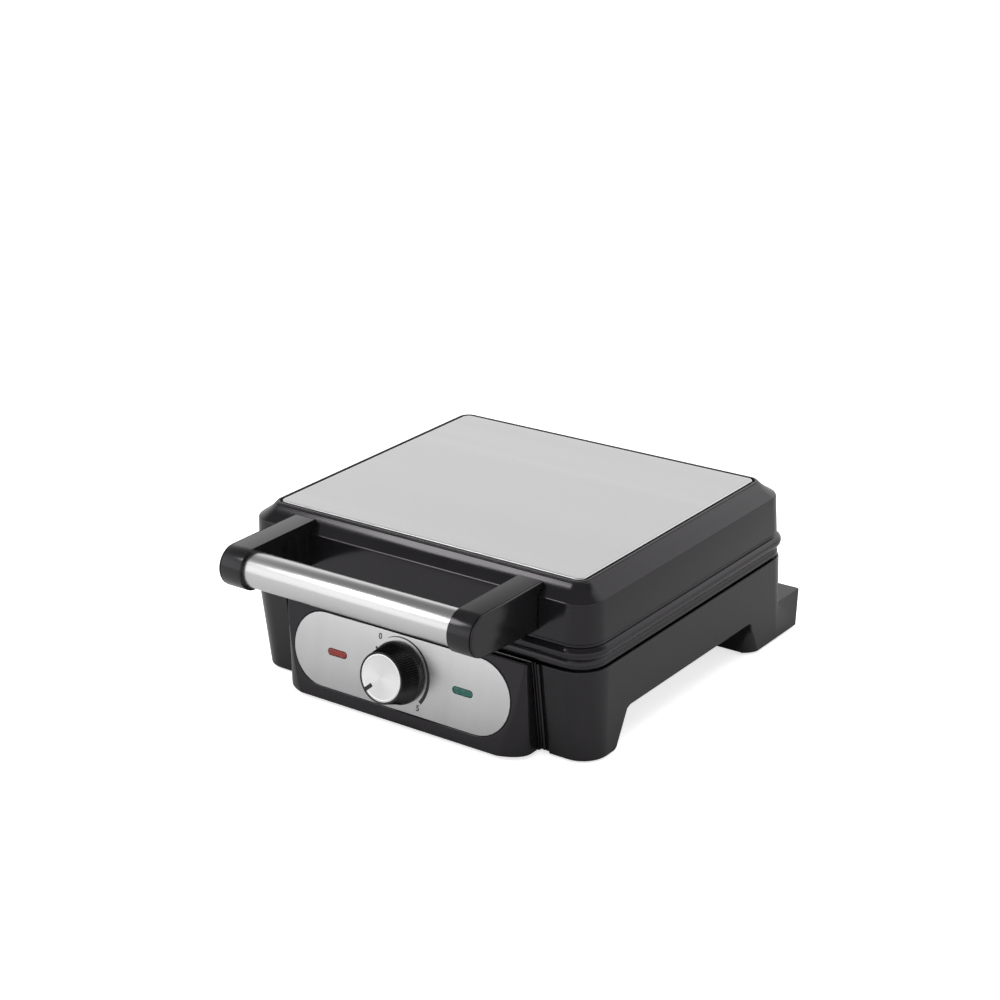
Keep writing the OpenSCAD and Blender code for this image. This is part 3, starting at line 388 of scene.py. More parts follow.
grain, g_in, g_out = group_tree("grain", [("Size", 0.4), ("Drift", 40.0)], ["Height", "Mask"])
place = object_place(grain)
for label, size, detail, roughness in (("Height", "Size", 2.0, 0.6), ("Mask", "Drift", 3.0, 0.55)):
    pitch = reckon(grain, "DIVIDE", PER_METRE, g_in[size])
    grain.links.new(noise(grain, place, pitch, detail, roughness), g_out[label])

brush, g_in, g_out = group_tree("brush", [("Across X", 1.0), ("Across Y", 1.0), ("Across Z", 1.0), ("Pitch", 0.25)],
                                ["Height", "Mask"])
stretch = put(brush, "CombineXYZ", {axis: g_in["Across " + axis] for axis in "XYZ"}).outputs[0]
scaled = put(brush, "VectorMath", {0: object_place(brush), 1: stretch}, operation="MULTIPLY").outputs[0]
pitch = reckon(brush, "DIVIDE", PER_METRE, g_in["Pitch"])
brush.links.new(noise(brush, scaled, pitch, 3.0, 0.7), g_out["Height"])
brush.links.new(noise(brush, scaled, 60.0, 4.0, 0.6), g_out["Mask"])

# Mask of raised edges, for a lightening that is partly wear and partly a painted highlight.
wear_and_edge_sheen, g_in, g_out = group_tree("wear_and_edge_sheen", [("Low", 0.52), ("High", 0.62), ("Size", 2.0)], ["Mask"])
edge = put(wear_and_edge_sheen, "NewGeometry").outputs["Pointiness"]
sharp = put(wear_and_edge_sheen, "MapRange", {"Value": edge, "From Min": g_in["Low"], "From Max": g_in["High"]}).outputs[0]
broken = noise(wear_and_edge_sheen, object_place(wear_and_edge_sheen), reckon(wear_and_edge_sheen, "DIVIDE", PER_METRE, g_in["Size"]), 3.0)
wear_and_edge_sheen.links.new(reckon(wear_and_edge_sheen, "MULTIPLY", sharp, broken), g_out["Mask"])
print("node groups:", [g.name for g in bpy.data.node_groups])

# %% [markdown]
# A finish is then one Principled shader with two colours that the drift blends, a roughness that the same drift
# moves a little, and a bump from the grain or the brush. What is the same all over, such as the refractive index,
# is set on the shader itself.

# %% Finish builder
def blend(tree, factor, a, b, **settings):
    """Colour between a and b; each may be a socket or three numbers."""
    a, b = ((*c, 1) if isinstance(c, tuple) else c for c in (a, b))
    return put(tree, "Mix", {"Factor": factor, 6: a, 7: b}, data_type="RGBA", **settings).outputs[2]


def spread(tree, value, start, end, low, high, **settings):
    """Value between start and end, mapped to low and high."""
    return put(tree, "MapRange", {"Value": value, "From Min": start, "From Max": end, "To Min": low,
                                  "To Max": high}, **settings).outputs[0]


def finish(slot, dark, light, rough, bump, effect, worn=None, **sockets):
    """Material for a slot. rough is (low, high); bump is (depth in mm, strength); effect is a placed group."""
    material = bpy.data.materials.new(slot)
    material.use_nodes = True
    tree = material.node_tree
    shader = tree.nodes["Principled BSDF"]
    texture = effect(tree)
    colour = blend(tree, texture["Mask"], dark, light)
    # Raised edges lighten towards the given colour: partly wear, partly a painted highlight.
    if worn:
        colour = blend(tree, use(tree, wear_and_edge_sheen)["Mask"], colour, worn)
    tree.links.new(colour, shader.inputs["Base Color"])
    tree.links.new(spread(tree, texture["Mask"], 0.3, 0.7, *rough), shader.inputs["Roughness"])
    relief = put(tree, "Bump", {"Height": texture["Height"], "Strength": bump[1], "Distance": bump[0] * MM})
    tree.links.new(relief.outputs[0], shader.inputs["Normal"])
    for key, value in sockets.items():
        shader.inputs[key.replace("_", " ")].default_value = value
    FINISHES[slot] = material
    return material


def grained(size, drift):
    return lambda tree: use(tree, grain, Size=size, Drift=drift)


def scratched(across, pitch):
    values = dict(zip(("Across X", "Across Y", "Across Z"), across))
    return lambda tree: use(tree, brush, Pitch=pitch, **values)


def moulded(slot, dark, light, rough, size, depth, drift=45, **sockets):
    return finish(slot, dark, light, rough, (depth, 0.5), grained(size, drift), **sockets)


def brushed(slot, dark, light, rough, across, pitch=0.25, depth=0.01):
    return finish(slot, dark, light, rough, (depth, 0.5), scratched(across, pitch), Metallic=1.0)


moulded("charcoal_shell", (0.0056, 0.0050, 0.0058), (0.0076, 0.0070, 0.0080), (0.13, 0.18), size=0.6, depth=0.0015,
        IOR=1.47, Specular_Tint=(1.0, 0.95, 1.0, 1))
moulded("dark_plastic", (0.006, 0.0056, 0.0062), (0.009, 0.0084, 0.0094), (0.15, 0.20), size=0.5, depth=0.003,
        IOR=1.47, Specular_Tint=(1.0, 0.96, 1.0, 1))
brushed("top_steel", (0.70, 0.70, 0.705), (0.76, 0.76, 0.765), (0.30, 0.36), (0.01, 1.0, 1.0), pitch=0.3, depth=0.002)
brushed("panel_steel", (0.56, 0.56, 0.565), (0.66, 0.66, 0.665), (0.30, 0.38), (1.0, 0.03, 0.03), pitch=0.3)
brushed("tube_steel", (0.62, 0.62, 0.62), (0.70, 0.70, 0.70), (0.22, 0.28), (0.002, 1.0, 1.0), pitch=0.2, depth=0.001)
# The cast plates' raised edges lighten: partly worn coating, partly a painted highlight.
moulded("nonstick", (0.016, 0.016, 0.017), (0.026, 0.026, 0.027), (0.38, 0.52), size=0.5, depth=0.05, drift=20,
        worn=(0.06, 0.06, 0.06))
moulded("element", (0.10, 0.09, 0.08), (0.24, 0.22, 0.19), (0.45, 0.6), size=0.6, depth=0.05, drift=15, Metallic=0.9)
brushed("reflector_sheet", (0.66, 0.66, 0.68), (0.78, 0.78, 0.80), (0.22, 0.34), (0.05, 1.0, 1.0))
moulded("zinc", (0.50, 0.50, 0.48), (0.66, 0.66, 0.63), (0.28, 0.42), size=0.8, depth=0.02, drift=6, Metallic=1.0)
moulded("nut_brass", (0.56, 0.40, 0.16), (0.70, 0.54, 0.26), (0.25, 0.4), size=0.6, depth=0.01, drift=8, Metallic=1.0)
moulded("copper", (0.50, 0.22, 0.11), (0.70, 0.36, 0.20), (0.25, 0.45), size=0.6, depth=0.01, drift=8, Metallic=1.0)
moulded("ceramic", (0.58, 0.53, 0.44), (0.72, 0.68, 0.60), (0.5, 0.7), size=0.5, depth=0.03, drift=12)
moulded("red_lens", (0.07, 0.005, 0.004), (0.46, 0.060, 0.045), (0.18, 0.26), size=1.1, depth=0.12, drift=2.6,
        IOR=1.45)
moulded("green_lens", (0.004, 0.035, 0.027), (0.034, 0.20, 0.155), (0.18, 0.26), size=1.1, depth=0.12, drift=2.6,
        IOR=1.45)
moulded("lamp_glass", (0.70, 0.55, 0.40), (0.90, 0.78, 0.62), (0.05, 0.1), size=2, depth=0.02, drift=5,
        Transmission_Weight=0.5)
moulded("soft_rubber", (0.014, 0.014, 0.014), (0.024, 0.024, 0.024), (0.62, 0.78), size=0.3, depth=0.05, drift=12)
moulded("knob_black", (0.003, 0.003, 0.0032), (0.005, 0.005, 0.0052), (0.22, 0.30), size=0.3, depth=0.004, drift=12,
        IOR=1.52)
moulded("spun_metal", (0.88, 0.88, 0.885), (0.92, 0.92, 0.925), (0.25, 0.27), size=0.6, depth=0.0004, drift=30,
        Metallic=1.0, Anisotropic=0.9)
print("finishes:", sorted(FINISHES))

# %% [markdown]
# The leads wear a braided glass sleeve. Two wave textures along the same slant, one a sine and one a triangle, make
# the braid, and their larger value at each point is what lies on top.

# %% Braided sleeve
sleeve = finish("lead_sleeve", (0.50, 0.47, 0.38), (0.66, 0.63, 0.55), (0.7, 0.85), (0.15, 0.8), grained(0.5, 8))
tree = sleeve.node_tree
wave = {"Vector": object_place(tree), "Scale": 260.0}
waves = [put(tree, "TexWave", wave, bands_direction="DIAGONAL", wave_profile=profile).outputs[1]
         for profile in ("SIN", "TRI")]
weave = reckon(tree, "MAXIMUM", *waves)
relief = next(n for n in tree.nodes if n.type == "BUMP")
tree.links.new(weave, relief.inputs["Height"])
print("braid on", sleeve.name)

# %% [markdown]
# The spun cap has rings too fine to see, which stretch every highlight into a bow tie. The shader does this with
# anisotropy about the piece's own axis, so the cap is built round its local z axis and then placed.

# %% Spun cap rings
tree = FINISHES["spun_metal"].node_tree
shader = tree.nodes["Principled BSDF"]
radial = put(tree, "Tangent", direction_type="RADIAL", axis="Z")
tree.links.new(radial.outputs[0], shader.inputs["Tangent"])
print("spun cap: anisotropy about its axis")

# %% [markdown]
# ## Lid
# The lid is one moulded shell. Its section, read from the recess under the steel plate outwards and down, goes over
# the lip, down a small step and a hollowed bevel to a crisp shoulder, down the wall, past a small groove and round
# the bead that hides the joint with the frame. The same section then returns inside, so the shell is hollow. A
# section swept round a rounded rectangle gives every edge of the lid at once, which no stack of boxes would.

# %% Lid shell
PLATE_R = 5.0
CORNER_GROWTH = 0.83  # how much a corner's radius grows for each millimetre outwards


def around(section, steps=4, closed=False):
    """Rings from section corners (distance out from the steel plate's edge, height, ease)."""
    return [ring(PLATE_HW + u, PLATE_HD + u, PLATE_HD + u, max(PLATE_R + CORNER_GROWTH * u, 0.5), z)
            for u, z in eased(section, steps, closed)]


RECESS_U, COVE_U, COVE_Z = 1.9, 7.7, TOP_Z - 5
SHOULDER_U, SHOULDER_Z = 15.7, TOP_Z - 10.5
WALL_U, WALL_IN = 16.9, 14.3
BEAD_Z = SHELL_Z + 7.2
shell_section = [
    (RECESS_U, TOP_Z - 2.0, 0), (RECESS_U, TOP_Z - 0.35, 0.3), (3.6, TOP_Z - 0.35, 0.45), (3.7, TOP_Z - 1.3, 0.2),
    (4.6, TOP_Z - 1.6, 0.2), (COVE_U, COVE_Z, 2.4), (SHOULDER_U, SHOULDER_Z, 0.8), (WALL_U - 0.1, BEAD_Z + 3.4, 0.3),
    (WALL_U - 0.9, BEAD_Z + 2.9, 0.3), (WALL_U - 0.9, BEAD_Z + 1.2, 0.3), (WALL_U + 0.5, BEAD_Z + 0.7, 0.4),
    (BEAD_U, BEAD_Z - 1.8, 1.2), (BEAD_U - 0.2, SHELL_Z + 2.2, 1.6), (WALL_U + 0.9, SHELL_Z + 0.2, 0.4),
    (WALL_IN, SHELL_Z + 0.2, 0.2), (WALL_IN, SHOULDER_Z - 2, 2.0), (5.9, TOP_Z - 3.2, 0)]
lid_shell = smooth(lofted("lid_shell", around(shell_section)), 35)
dress(lid_shell, "lid", "charcoal_shell", "lid_housing")

# %% [markdown]
# The steel plate lies in the recess with an even dark gap round it. Its edge is folded down, so it has a small
# bright rounding rather than a cut edge, and the fold stops short of the recess floor, which keeps the gap dark.

# %% Steel top plate
FOLD_Z = TOP_Z - 1.3
plate_section = [(-2.0, TOP_Z - 1.9, 0), (-0.9, TOP_Z - 1.9, 0.1), (-0.9, FOLD_Z, 0.1), (0.0, FOLD_Z, 0.1),
                 (0.0, TOP_Z, 1.1), (-2.4, TOP_Z, 0)]
steel_plate = smooth(lofted("steel_top_plate", around(plate_section)), 60)
dress(steel_plate, "lid", "top_steel", "lid_top_plate")

# %% [markdown]
# Below the shell a flat frame carries the upper waffle plate. It is a closed ring of section: outer face, top,
# opening, ledge for the plate's flange, and underside.

# %% Lid frame
cast_low, cast_high = span("upper_waffle_plate")
CAST_U = cast_high.x - PLATE_HW
OPEN_U = CAST_U - 5.2
frame_low, frame_high = span("lid_frame")
FLANGE_TOP = cast_low.z + 4.1
OPENING_R = 8.0
frame_section = [
    (FRAME_U, frame_low.z, 1.0), (FRAME_U, (frame_low.z + frame_high.z) / 2, 2.6), (FRAME_U - 1.7, frame_high.z, 0.4),
    (OPEN_U, frame_high.z, 0.3), (OPEN_U, FLANGE_TOP, 0.2), (CAST_U + 0.4, FLANGE_TOP, 0.2),
    (CAST_U + 0.4, frame_low.z, 0.5)]
frame_rings = []
for u, z in eased(frame_section, 3, closed=True):
    r = OPENING_R if u < CAST_U + 0.8 else PLATE_R + CORNER_GROWTH * u
    frame_rings.append(ring(PLATE_HW + u, PLATE_HD + u, PLATE_HD + u, r, z))
lid_ring = smooth(lofted("lid_frame_ring", frame_rings, closed=True), 40)
dress(lid_ring, "lid", "charcoal_shell", "lid_frame")

# %% [markdown]
# ## Waffle plates
# A cast plate is a height field: four pockets go down with sloping walls and twenty pegs stand in each. Because
# every wall runs along x or y, the whole face can be a grid whose lines are placed only where the height changes,
# with a few extra lines on each edge to round it. The height is the smaller of two ramps for a pocket and for a
# peg, which mitres the corners by itself.

# %% Plate face
POCKET_DEPTH, PEG_RISE, RIB, RIM_W, PEG = 11.0, 6.5, 8.0, 8.0, 12.0
FACE_EDGE, FLANGE_T, CAST_T = 3.2, 4, 15
EDGE = ((-0.5, 0.0), (0.0, 0.03), (0.35, 0.12), (0.65, 0.3), (1.15, 0.72), (1.6, 0.93), (2.2, 1.0))
PEG_EDGE = ((-0.35, 0.0), (0.1, 0.06), (0.55, 0.4), (1.0, 0.78), (1.5, 0.96), (2.1, 1.0))


def ramp(x, start, way, edge):
    """Share of the full height at x for a wall that starts at start and rises in direction way."""
    return float(np.interp((x - start) * way, [e[0] for e in edge], [e[1] for e in edge]))


def face_lines(half, pegs):
    """Grid lines, pocket spans and peg spans on one axis."""
    inner, outer = RIB / 2, half - RIM_W
    cell = (outer - inner) / pegs
    pockets, spans, lines = [], [], [-half, half]
    for side in (-1, 1):
        lo, hi = beside(side, inner, outer)
        pockets.append((lo, hi))
        lines += [lo + e[0] for e in EDGE] + [hi - e[0] for e in EDGE]
        for k in range(pegs):
            mid = side * (inner + (k + 0.5) * cell)
            spans.append((mid - PEG / 2, mid + PEG / 2))
            lines += [mid - PEG / 2 + e[0] for e in PEG_EDGE] + [mid + PEG / 2 - e[0] for e in PEG_EDGE]
    return sorted(set(round(v, 4) for v in lines)), pockets, spans


def share(x, spans, edge):
    return max(min(ramp(x, lo, 1, edge), ramp(x, hi, -1, edge)) for lo, hi in spans)


def waffle_plate(name, node, facing):
    """Cast plate with its face up (facing 1) or down (facing -1)."""
    low, high = span(node)
    half_x, half_y = high.x, (high.y - low.y) / 2
    face_z, back_z = (high.z, low.z) if facing > 0 else (low.z, high.z)
    xs, pockets_x, pegs_x = face_lines(half_x, 5)
    ys, pockets_y, pegs_y = face_lines(half_y, 4)
    in_x, in_y = half_x - FACE_EDGE, half_y - FACE_EDGE
    xs = [-in_x] + [x for x in xs if abs(x) < in_x - 0.1] + [in_x]
    ys = [-in_y] + [y for y in ys if abs(y) < in_y - 0.1] + [in_y]
    verts, faces = [], []
    for y in ys:
        down_y, peg_y = share(y, pockets_y, EDGE), share(y, pegs_y, PEG_EDGE)
        for x in xs:
            down = min(share(x, pockets_x, EDGE), down_y) * POCKET_DEPTH
            rise = min(share(x, pegs_x, PEG_EDGE), peg_y) * PEG_RISE
            verts.append((x, y, face_z + facing * (rise - down)))
    n = len(xs)
    for j in range(len(ys) - 1):
        for i in range(n - 1):
            a, b, c, d = j * n + i, j * n + i + 1, (j + 1) * n + i + 1, (j + 1) * n + i
            za, zb, zc, zd = (verts[k][2] for k in (a, b, c, d))
            if abs(za + zc - zb - zd) < 1e-6:
                faces.append((a, b, c, d))
            elif abs(za - zc) > abs(zb - zd):
                faces += [(a, b, c), (a, c, d)]
            else:
                faces += [(a, b, d), (b, c, d)]
    face = mesh_of(name + "_face", verts, faces)
    rings = [ring(in_x, in_y, in_y, 0.4, face_z)]
    side = [(-1.2, 0, 0), (0, 0, 0.5), (0, FLANGE_T, 0.4), (-5.6, FLANGE_T, 0.3), (-5.6, CAST_T, 0.8),
            (-9, CAST_T, 0)]
    for u, t in eased(side, 3):
        rings.append(ring(half_x + u, half_y + u, half_y + u, max(8 + u * 0.6, 2), face_z - facing * t))
    body = lofted(name + "_body", rings, caps=(False, True))
    ends = sorted((face_z - facing * CAST_T, back_z))
    bosses = [prism(name + "_boss", circle(sx * (half_x - 24), sy * (half_y - 20), 5), *ends, "z")
              for sx in (-1, 1) for sy in (-1, 1)]
    plate = join(name, [face, body, *bosses])
    outward(plate.data)
    return smooth(plate, 38)


dress(waffle_plate("lower_cast_plate", "lower_waffle_plate", 1), "base", "nonstick", "lower_waffle_plate")
dress(waffle_plate("upper_cast_plate", "upper_waffle_plate", -1), "lid", "nonstick", "upper_waffle_plate")

# %% [markdown]
# ## Base
# The base is a tub that narrows towards the table. Four feet are left standing where the space under the belly is
# cut away, the rear pair runs back in two heels that balance the open lid, and the front wall has an opening behind
# the control pod. The tub is lofted, the heels are joined to it and the hollows are cut out, because feet that are
# left over from one tub share its slope, which legs stuck on from below would not.

# %% Base tub
SPLAY, SPLAY_FRONT = 4.1, 6.6
TOE_HW, TOE_FRONT = RIM_HW - SPLAY, RIM_FRONT - SPLAY_FRONT
RIM_Z, REAR = SEAM_Z - 0.6, RIM_HW - 18.5
WALL = 2.8
FAR = 160
BELLY_Z = span("bottom_cover")[0].z - 0.1


def tub(name, grow, low, high):
    """The tub's skin between two heights, grown outwards."""
    rings = []
    for z in (low, high):
        s = (z - FOOT_Z) / (RIM_Z - FOOT_Z)
        rings.append(ring(TOE_HW + SPLAY * s + grow, TOE_FRONT + SPLAY_FRONT * s + grow, REAR + grow,
                          18 + 4 * s + grow, z, 11 + 11 * s + grow))
    return lofted(name, rings)


def leg_gap(grow):
    """Side view of the space between front and rear feet, with rounded corners at the belly and at the soles."""
    top = BELLY_Z + grow
    return [(-96 - grow, FOOT_Z - 4), (-90.5 - grow, FOOT_Z - 0.1), (-88.0 - grow, FOOT_Z + 1.6),
            (-79.2 - grow, top - 4.6), (-77.8 - grow, top - 1.4), (-74.6 - grow, top), (73.6 + grow, top),
            (76.0 + grow, top - 1.2), (76.8 + grow, top - 4), (78.6 + grow, FOOT_Z + 1.8),
            (80.4 + grow, FOOT_Z - 0.1), (84 + grow, FOOT_Z - 4)]


def wall_front(z):
    """y of the front wall at a height."""
    return -(TOE_FRONT + (RIM_FRONT - TOE_FRONT) * (z - FOOT_Z) / (RIM_Z - FOOT_Z))


def foot_corner(side, grow):
    """Cutter that rounds the front outer corner of a rear foot, more and more towards the sole."""
    rings = []
    for z, radius, off in ((FOOT_Z - 1, 15.0, 0.4), (FOOT_Z + 8, 10.5, 0.35), (FOOT_Z + 16, 6.0, 0.3),
                           (BELLY_Z - 6, 2.6, 0.5), (BELLY_Z - 2, 1.2, 1.4)):
        r = max(radius - grow, 0.6)
        edge, front = TOE_HW + 0.062 * (z - FOOT_Z) - grow, 78.6 - 0.083 * (z - FOOT_Z - 1.8) + grow
        cx, cy = edge - r + off, front + r - off
        outline = ([(edge + 6, front - 6), (edge + 6, cy + 1), (cx + r + 0.6, cy + 1)]
                   + arc(cx, cy, r, 4, -94, 9) + [(cx - 1, cy - r - 0.6), (cx - 1, front - 6)])
        rings.append([(side * x, y, z) for x, y in outline])
    return lofted("foot_corner", rings)


HEEL_IN, HEEL_TOP, HEEL_LEAN, HEEL_R = 80.0, 28.9, 3.4, 1.6
base_shell = tub("base_shell", 0, FOOT_Z, RIM_Z)
heels = []
for side in (-1, 1):
    a, b = beside(side, HEEL_IN, TOE_HW)
    rings = []
    for z, back in ((FOOT_Z, HEEL_Y - HEEL_LEAN), (HEEL_TOP, HEEL_Y)):
        y = back - HEEL_R
        plan = [(a, 76.0), (b, 76.0)] + arc(b - HEEL_R, y, HEEL_R, 0, 90, 5) + arc(a + HEEL_R, y, HEEL_R, 90, 180, 5)
        rings.append([(x, y, z) for x, y in plan])
    heels.append(lofted("heel", rings))
combine(base_shell, heels, "UNION")

# %% Hollow and feet
inside = tub("inside", -WALL, FOOT_Z + WALL, RIM_Z + 3)
combine(inside, [prism("over_belly", leg_gap(WALL), -FAR, FAR),
                 block("over_rear", (-HEEL_IN - WALL, 0, 0), (HEEL_IN + WALL, FAR, BELLY_Z + WALL)),
                 foot_corner(-1, WALL), foot_corner(1, WALL)])
combine(base_shell, [inside, prism("belly", leg_gap(0), -FAR, FAR),
                     block("rear_belly", (-HEEL_IN, 0, FOOT_Z - 5), (HEEL_IN, FAR, BELLY_Z))])

# %% Openings and channels
GROOVE_IN, GROOVE_OUT, GROOVE_DEEP = 98.8, 105.9, 2.2
WINDOW_HW, WINDOW_LOW, WINDOW_HIGH = 88, 16.5, 58.5
COVER_HW = span("bottom_cover")[1].x
hollows, corners, grooves = [], [], []
for side in (-1, 1):
    a, b = beside(side, HEEL_IN + WALL, TOE_HW - WALL)
    hollows.append(block("heel_hollow", (a, 97, FOOT_Z + WALL), (b, HEEL_Y - HEEL_LEAN - WALL, HEEL_TOP - WALL)))
    corners.append(foot_corner(side, 0))
    channel = ((GROOVE_IN, -3), (GROOVE_OUT, -3), (GROOVE_OUT, GROOVE_DEEP), (GROOVE_IN, GROOVE_DEEP))
    rings = [[(side * x, wall_front(z) + d, z) for x, d in channel] for z in (FOOT_Z - 2, RIM_Z + 2)]
    grooves.append(lofted("pod_groove", rings))
window = block("window", (-WINDOW_HW, -RIM_FRONT - 1, WINDOW_LOW), (WINDOW_HW, 12.2 - RIM_FRONT, WINDOW_HIGH))
cover_hole = block("cover_hole", (6 - COVER_HW, -60, BELLY_Z - 1), (COVER_HW - 6, 60, BELLY_Z + 5.6))
cover_seat = block("cover_seat", (-COVER_HW - 0.2, -66, BELLY_Z - 1), (COVER_HW + 0.2, 66, BELLY_Z + 2))
combine(base_shell, [*hollows, window, cover_hole, cover_seat, *corners, *grooves])
print("base tub:", len(base_shell.data.polygons), "faces")

# %% [markdown]
# The hinge knuckles are barrels on gussets, two on each side, whose roots are sunk in the rear wall. They are a
# piece of their own: joined to the tub, their edges would run into its rounded rim and spoil the bevel there.

# %% Hinge knuckles
KNUCKLE_R, KNUCKLE_W, PIN_BORE = 7.5, 12.0, 4.05


def about_hinge(r, steps=24):
    """Circle (y, z) about the hinge axis."""
    return circle(HINGE_Y, HINGE_Z, r, steps)


gusset = [(REAR - 1.4, HINGE_Z - 22.5), (REAR, HINGE_Z - 22.5),
          (HINGE_Y + KNUCKLE_R * 0.86, HINGE_Z - KNUCKLE_R * 0.5), (HINGE_Y, HINGE_Z), (REAR - 1.4, RIM_Z - 0.2)]
knuckles = []
for side in (-1, 1):
    for start in (60.0, 88.0):
        ends = beside(side, start, start + KNUCKLE_W)
        web = prism("gusset", gusset, *ends)
        knuckles.append(combine(web, [prism("barrel", about_hinge(KNUCKLE_R), *ends)], "UNION"))
barrels = combine(join("hinge_knuckles", knuckles), [prism("bore", about_hinge(PIN_BORE), -110, 110)])
dress(soften(barrels, 0.7, 3, 34), "base", "charcoal_shell")

# %% [markdown]
# Beside the control pod the front wall has an upright channel with a slim ridge in it, which leaves a dark groove
# on each side of the ridge. The channel is already cut; the ridge is a rounded bar that follows the wall's slope.

# %% Ridges beside the pod
RIDGE = ((101.2, 2.3), (101.2, 0.4), (101.6, 0.0), (102.4, -0.2), (103.2, 0.0), (103.6, 0.4), (103.6, 2.3))
ridges = []
for side in (-1, 1):
    rings = [[(side * x, wall_front(z) + d, z) for x, d in RIDGE] for z in (FOOT_Z + 1.8, RIM_Z - 0.6)]
    ridges.append(lofted("ridge", rings))
soften(base_shell, 0.8, 3, 34)
dress(base_shell, "base", "charcoal_shell", "base_housing")
dress(smooth(join("pod_ridges", ridges), 60), "base", "charcoal_shell")

# %% [markdown]
# ## Control pod
# The pod stands out from the front wall with a face that leans back. Seen from above its sides run straight out and
# then curve in to the face, and the curve takes in more of the width towards the foot, so the crease between side
# and face sweeps inwards as it goes down. It is lofted upwards, ring by ring, since no bevel can grow like that, and
# then the shelf behind its top lip and the seats are cut.

# %% Pod
POD_HW, POD_TOP, POD_SIDE, POD_BACK = 99.0, 66.5, -126.0, -113.4
LEAN_ANGLE, SWEEP = 9.5, math.radians(62)
LEAN = math.tan(math.radians(LEAN_ANGLE))
POD_Y = span("control_housing")[0].y - MID_Y - LEAN * 2.3
POD_LOW = FOOT_Z + 1.1
LIP_DROP, POD_WALL = 5.0, 2.6


def pod_front(z):
    """y of the pod's face at a height."""
    return POD_Y + LEAN * (z - FOOT_Z)


def pod_ring(z, inset=0.0, steps=12):
    """Plan of the pod at a height, inset all round."""
    turn = 1.2 + 16.3 * (max(POD_TOP - z, 0) / (POD_TOP - FOOT_Z)) ** 1.5
    front, side, back = pod_front(z) + inset, POD_HW - inset, POD_BACK + inset
    curve = []
    for a in (SWEEP * k / steps for k in range(steps + 1)):
        curve.append((side - turn * (1 - math.cos(a)) / (1 - math.cos(SWEEP)),
                      POD_SIDE - (POD_SIDE - front) * math.sin(a) / math.sin(SWEEP)))
    return [(side, back, z), (-side, back, z)] + [(-x, y, z) for x, y in curve] + [(x, y, z) for x, y in curve[::-1]]


def pod_skin(name, inset, low, high, ends=()):
    """The pod's skin between two heights; ends are extra insets (height, inset) near the bottom."""
    levels = [low + (high - low) * k / 24 for k in range(25)]
    rings = [pod_ring(z, inset + more) for z, more in [(low + d, e) for d, e in ends] if more > 0]
    body = [pod_ring(z, inset) for z in levels if not ends or low + 1.2 < z < high - 0.9]
    top = [pod_ring(high - d, inset + e) for d, e in ((0.8, 0.0), (0.3, 0.2), (0.0, 0.7))] if ends else []
    return lofted(name, rings + body + top)


pod = pod_skin("control_pod", 0, POD_LOW, POD_TOP, ((0, 1.2), (0.1, 0.8), (0.4, 0.4), (0.8, 0.1)))
hollow = pod_skin("pod_hollow", POD_WALL, POD_LOW + POD_WALL, POD_TOP - LIP_DROP - POD_WALL)
combine(pod, [hollow, tub("tub_cut", 0.15, FOOT_Z - 2, RIM_Z + 9)])
shelf = block("shelf", (-POD_HW + 2.2, pod_front(POD_TOP) + 2.2, POD_TOP - LIP_DROP),
              (POD_HW - 2.2, -RIM_FRONT + 6, POD_TOP + 4))
middle = sum(span("control_panel"), Vector()) / 2
PANEL_AXIS = (Matrix.Translation((0, middle.y * MM, middle.z * MM))
              @ Matrix.Rotation(math.radians(90 - LEAN_ANGLE), 4, "X"))


def on_panel(obj, x=0.0, turn=0.0):
    """Puts a piece made flat at the origin onto the panel: turned about z, moved by x, with z out of the panel."""
    at_origin(obj).data.transform(PANEL_AXIS @ Matrix.Translation((x * MM, 0, 0)) @ Matrix.Rotation(turn, 4, "Z"))
    return obj


def pill(w, h, z=0.0, steps=16):
    """Stadium outline at a height."""
    s = (w - h) / 2
    return [(x, y, z) for x, y in arc(s, 0, h / 2, -90, 90, steps) + arc(-s, 0, h / 2, 90, 270, steps)]


PANEL_W, PANEL_H, LENS_W, LENS_H, LENS_X = 178.6, 51.2, 16.0, 4.6, 52.0
BUSH_R = 5.0


def panel_holes(depth, gap):
    """Cutters for the knob's bush and the two lenses, from a depth behind the face."""
    slot = [pill(LENS_W + gap, LENS_H + gap, z) for z in (-depth, 4)]
    return [on_panel(prism("bush_hole", circle(0, 0, BUSH_R, 36), -depth, 4, "z")),
            *(on_panel(lofted("lens_hole", slot), side * LENS_X) for side in (-1, 1))]


seat = on_panel(lofted("seat", [pill(PANEL_W + 0.7, PANEL_H + 0.7, z) for z in (-0.5, 4)]))
combine(pod, [shelf, seat, *panel_holes(8, 0.4)])
soften(pod, 0.6)
pod.data.set_sharp_from_angle(angle=math.radians(14))
dress(pod, "base", "charcoal_shell", "control_housing")

# %% [markdown]
# ## Panel and dial
# The panel is a thin stadium of brushed steel in a shallow seat. Its rim is rounded like a stamped sheet. The dial
# is printed: a wedge that grows with the heat, a start mark, and plain numbers. Printing has no thickness to
# speak of, so the marks are thin faces a few hundredths of a millimetre over the steel. As meshes they stay sharp
# from close by, which a painted texture of the same size would not.

# %% Control panel
PANEL_FACE = 0.35
panel_rings = [pill(PANEL_W - 2 * i, PANEL_H - 2 * i, z)
               for i, z in ((0.0, -0.45), (0.0, 0.05), (0.08, 0.2), (0.22, 0.3), (0.45, PANEL_FACE))]
panel = combine(on_panel(lofted("steel_panel", panel_rings)), panel_holes(2, 0.5))
dress(smooth(panel, 50), "base", "panel_steel", "control_panel")

# %% Printed dial
moulded("dial_print", (0.012, 0.012, 0.012), (0.02, 0.02, 0.02), (0.4, 0.5), size=0.2, depth=0.005, drift=6)


def printed(name, outline):
    """Thin printed face."""
    return prism(name, outline, PANEL_FACE + 0.01, PANEL_FACE + 0.06, "z")


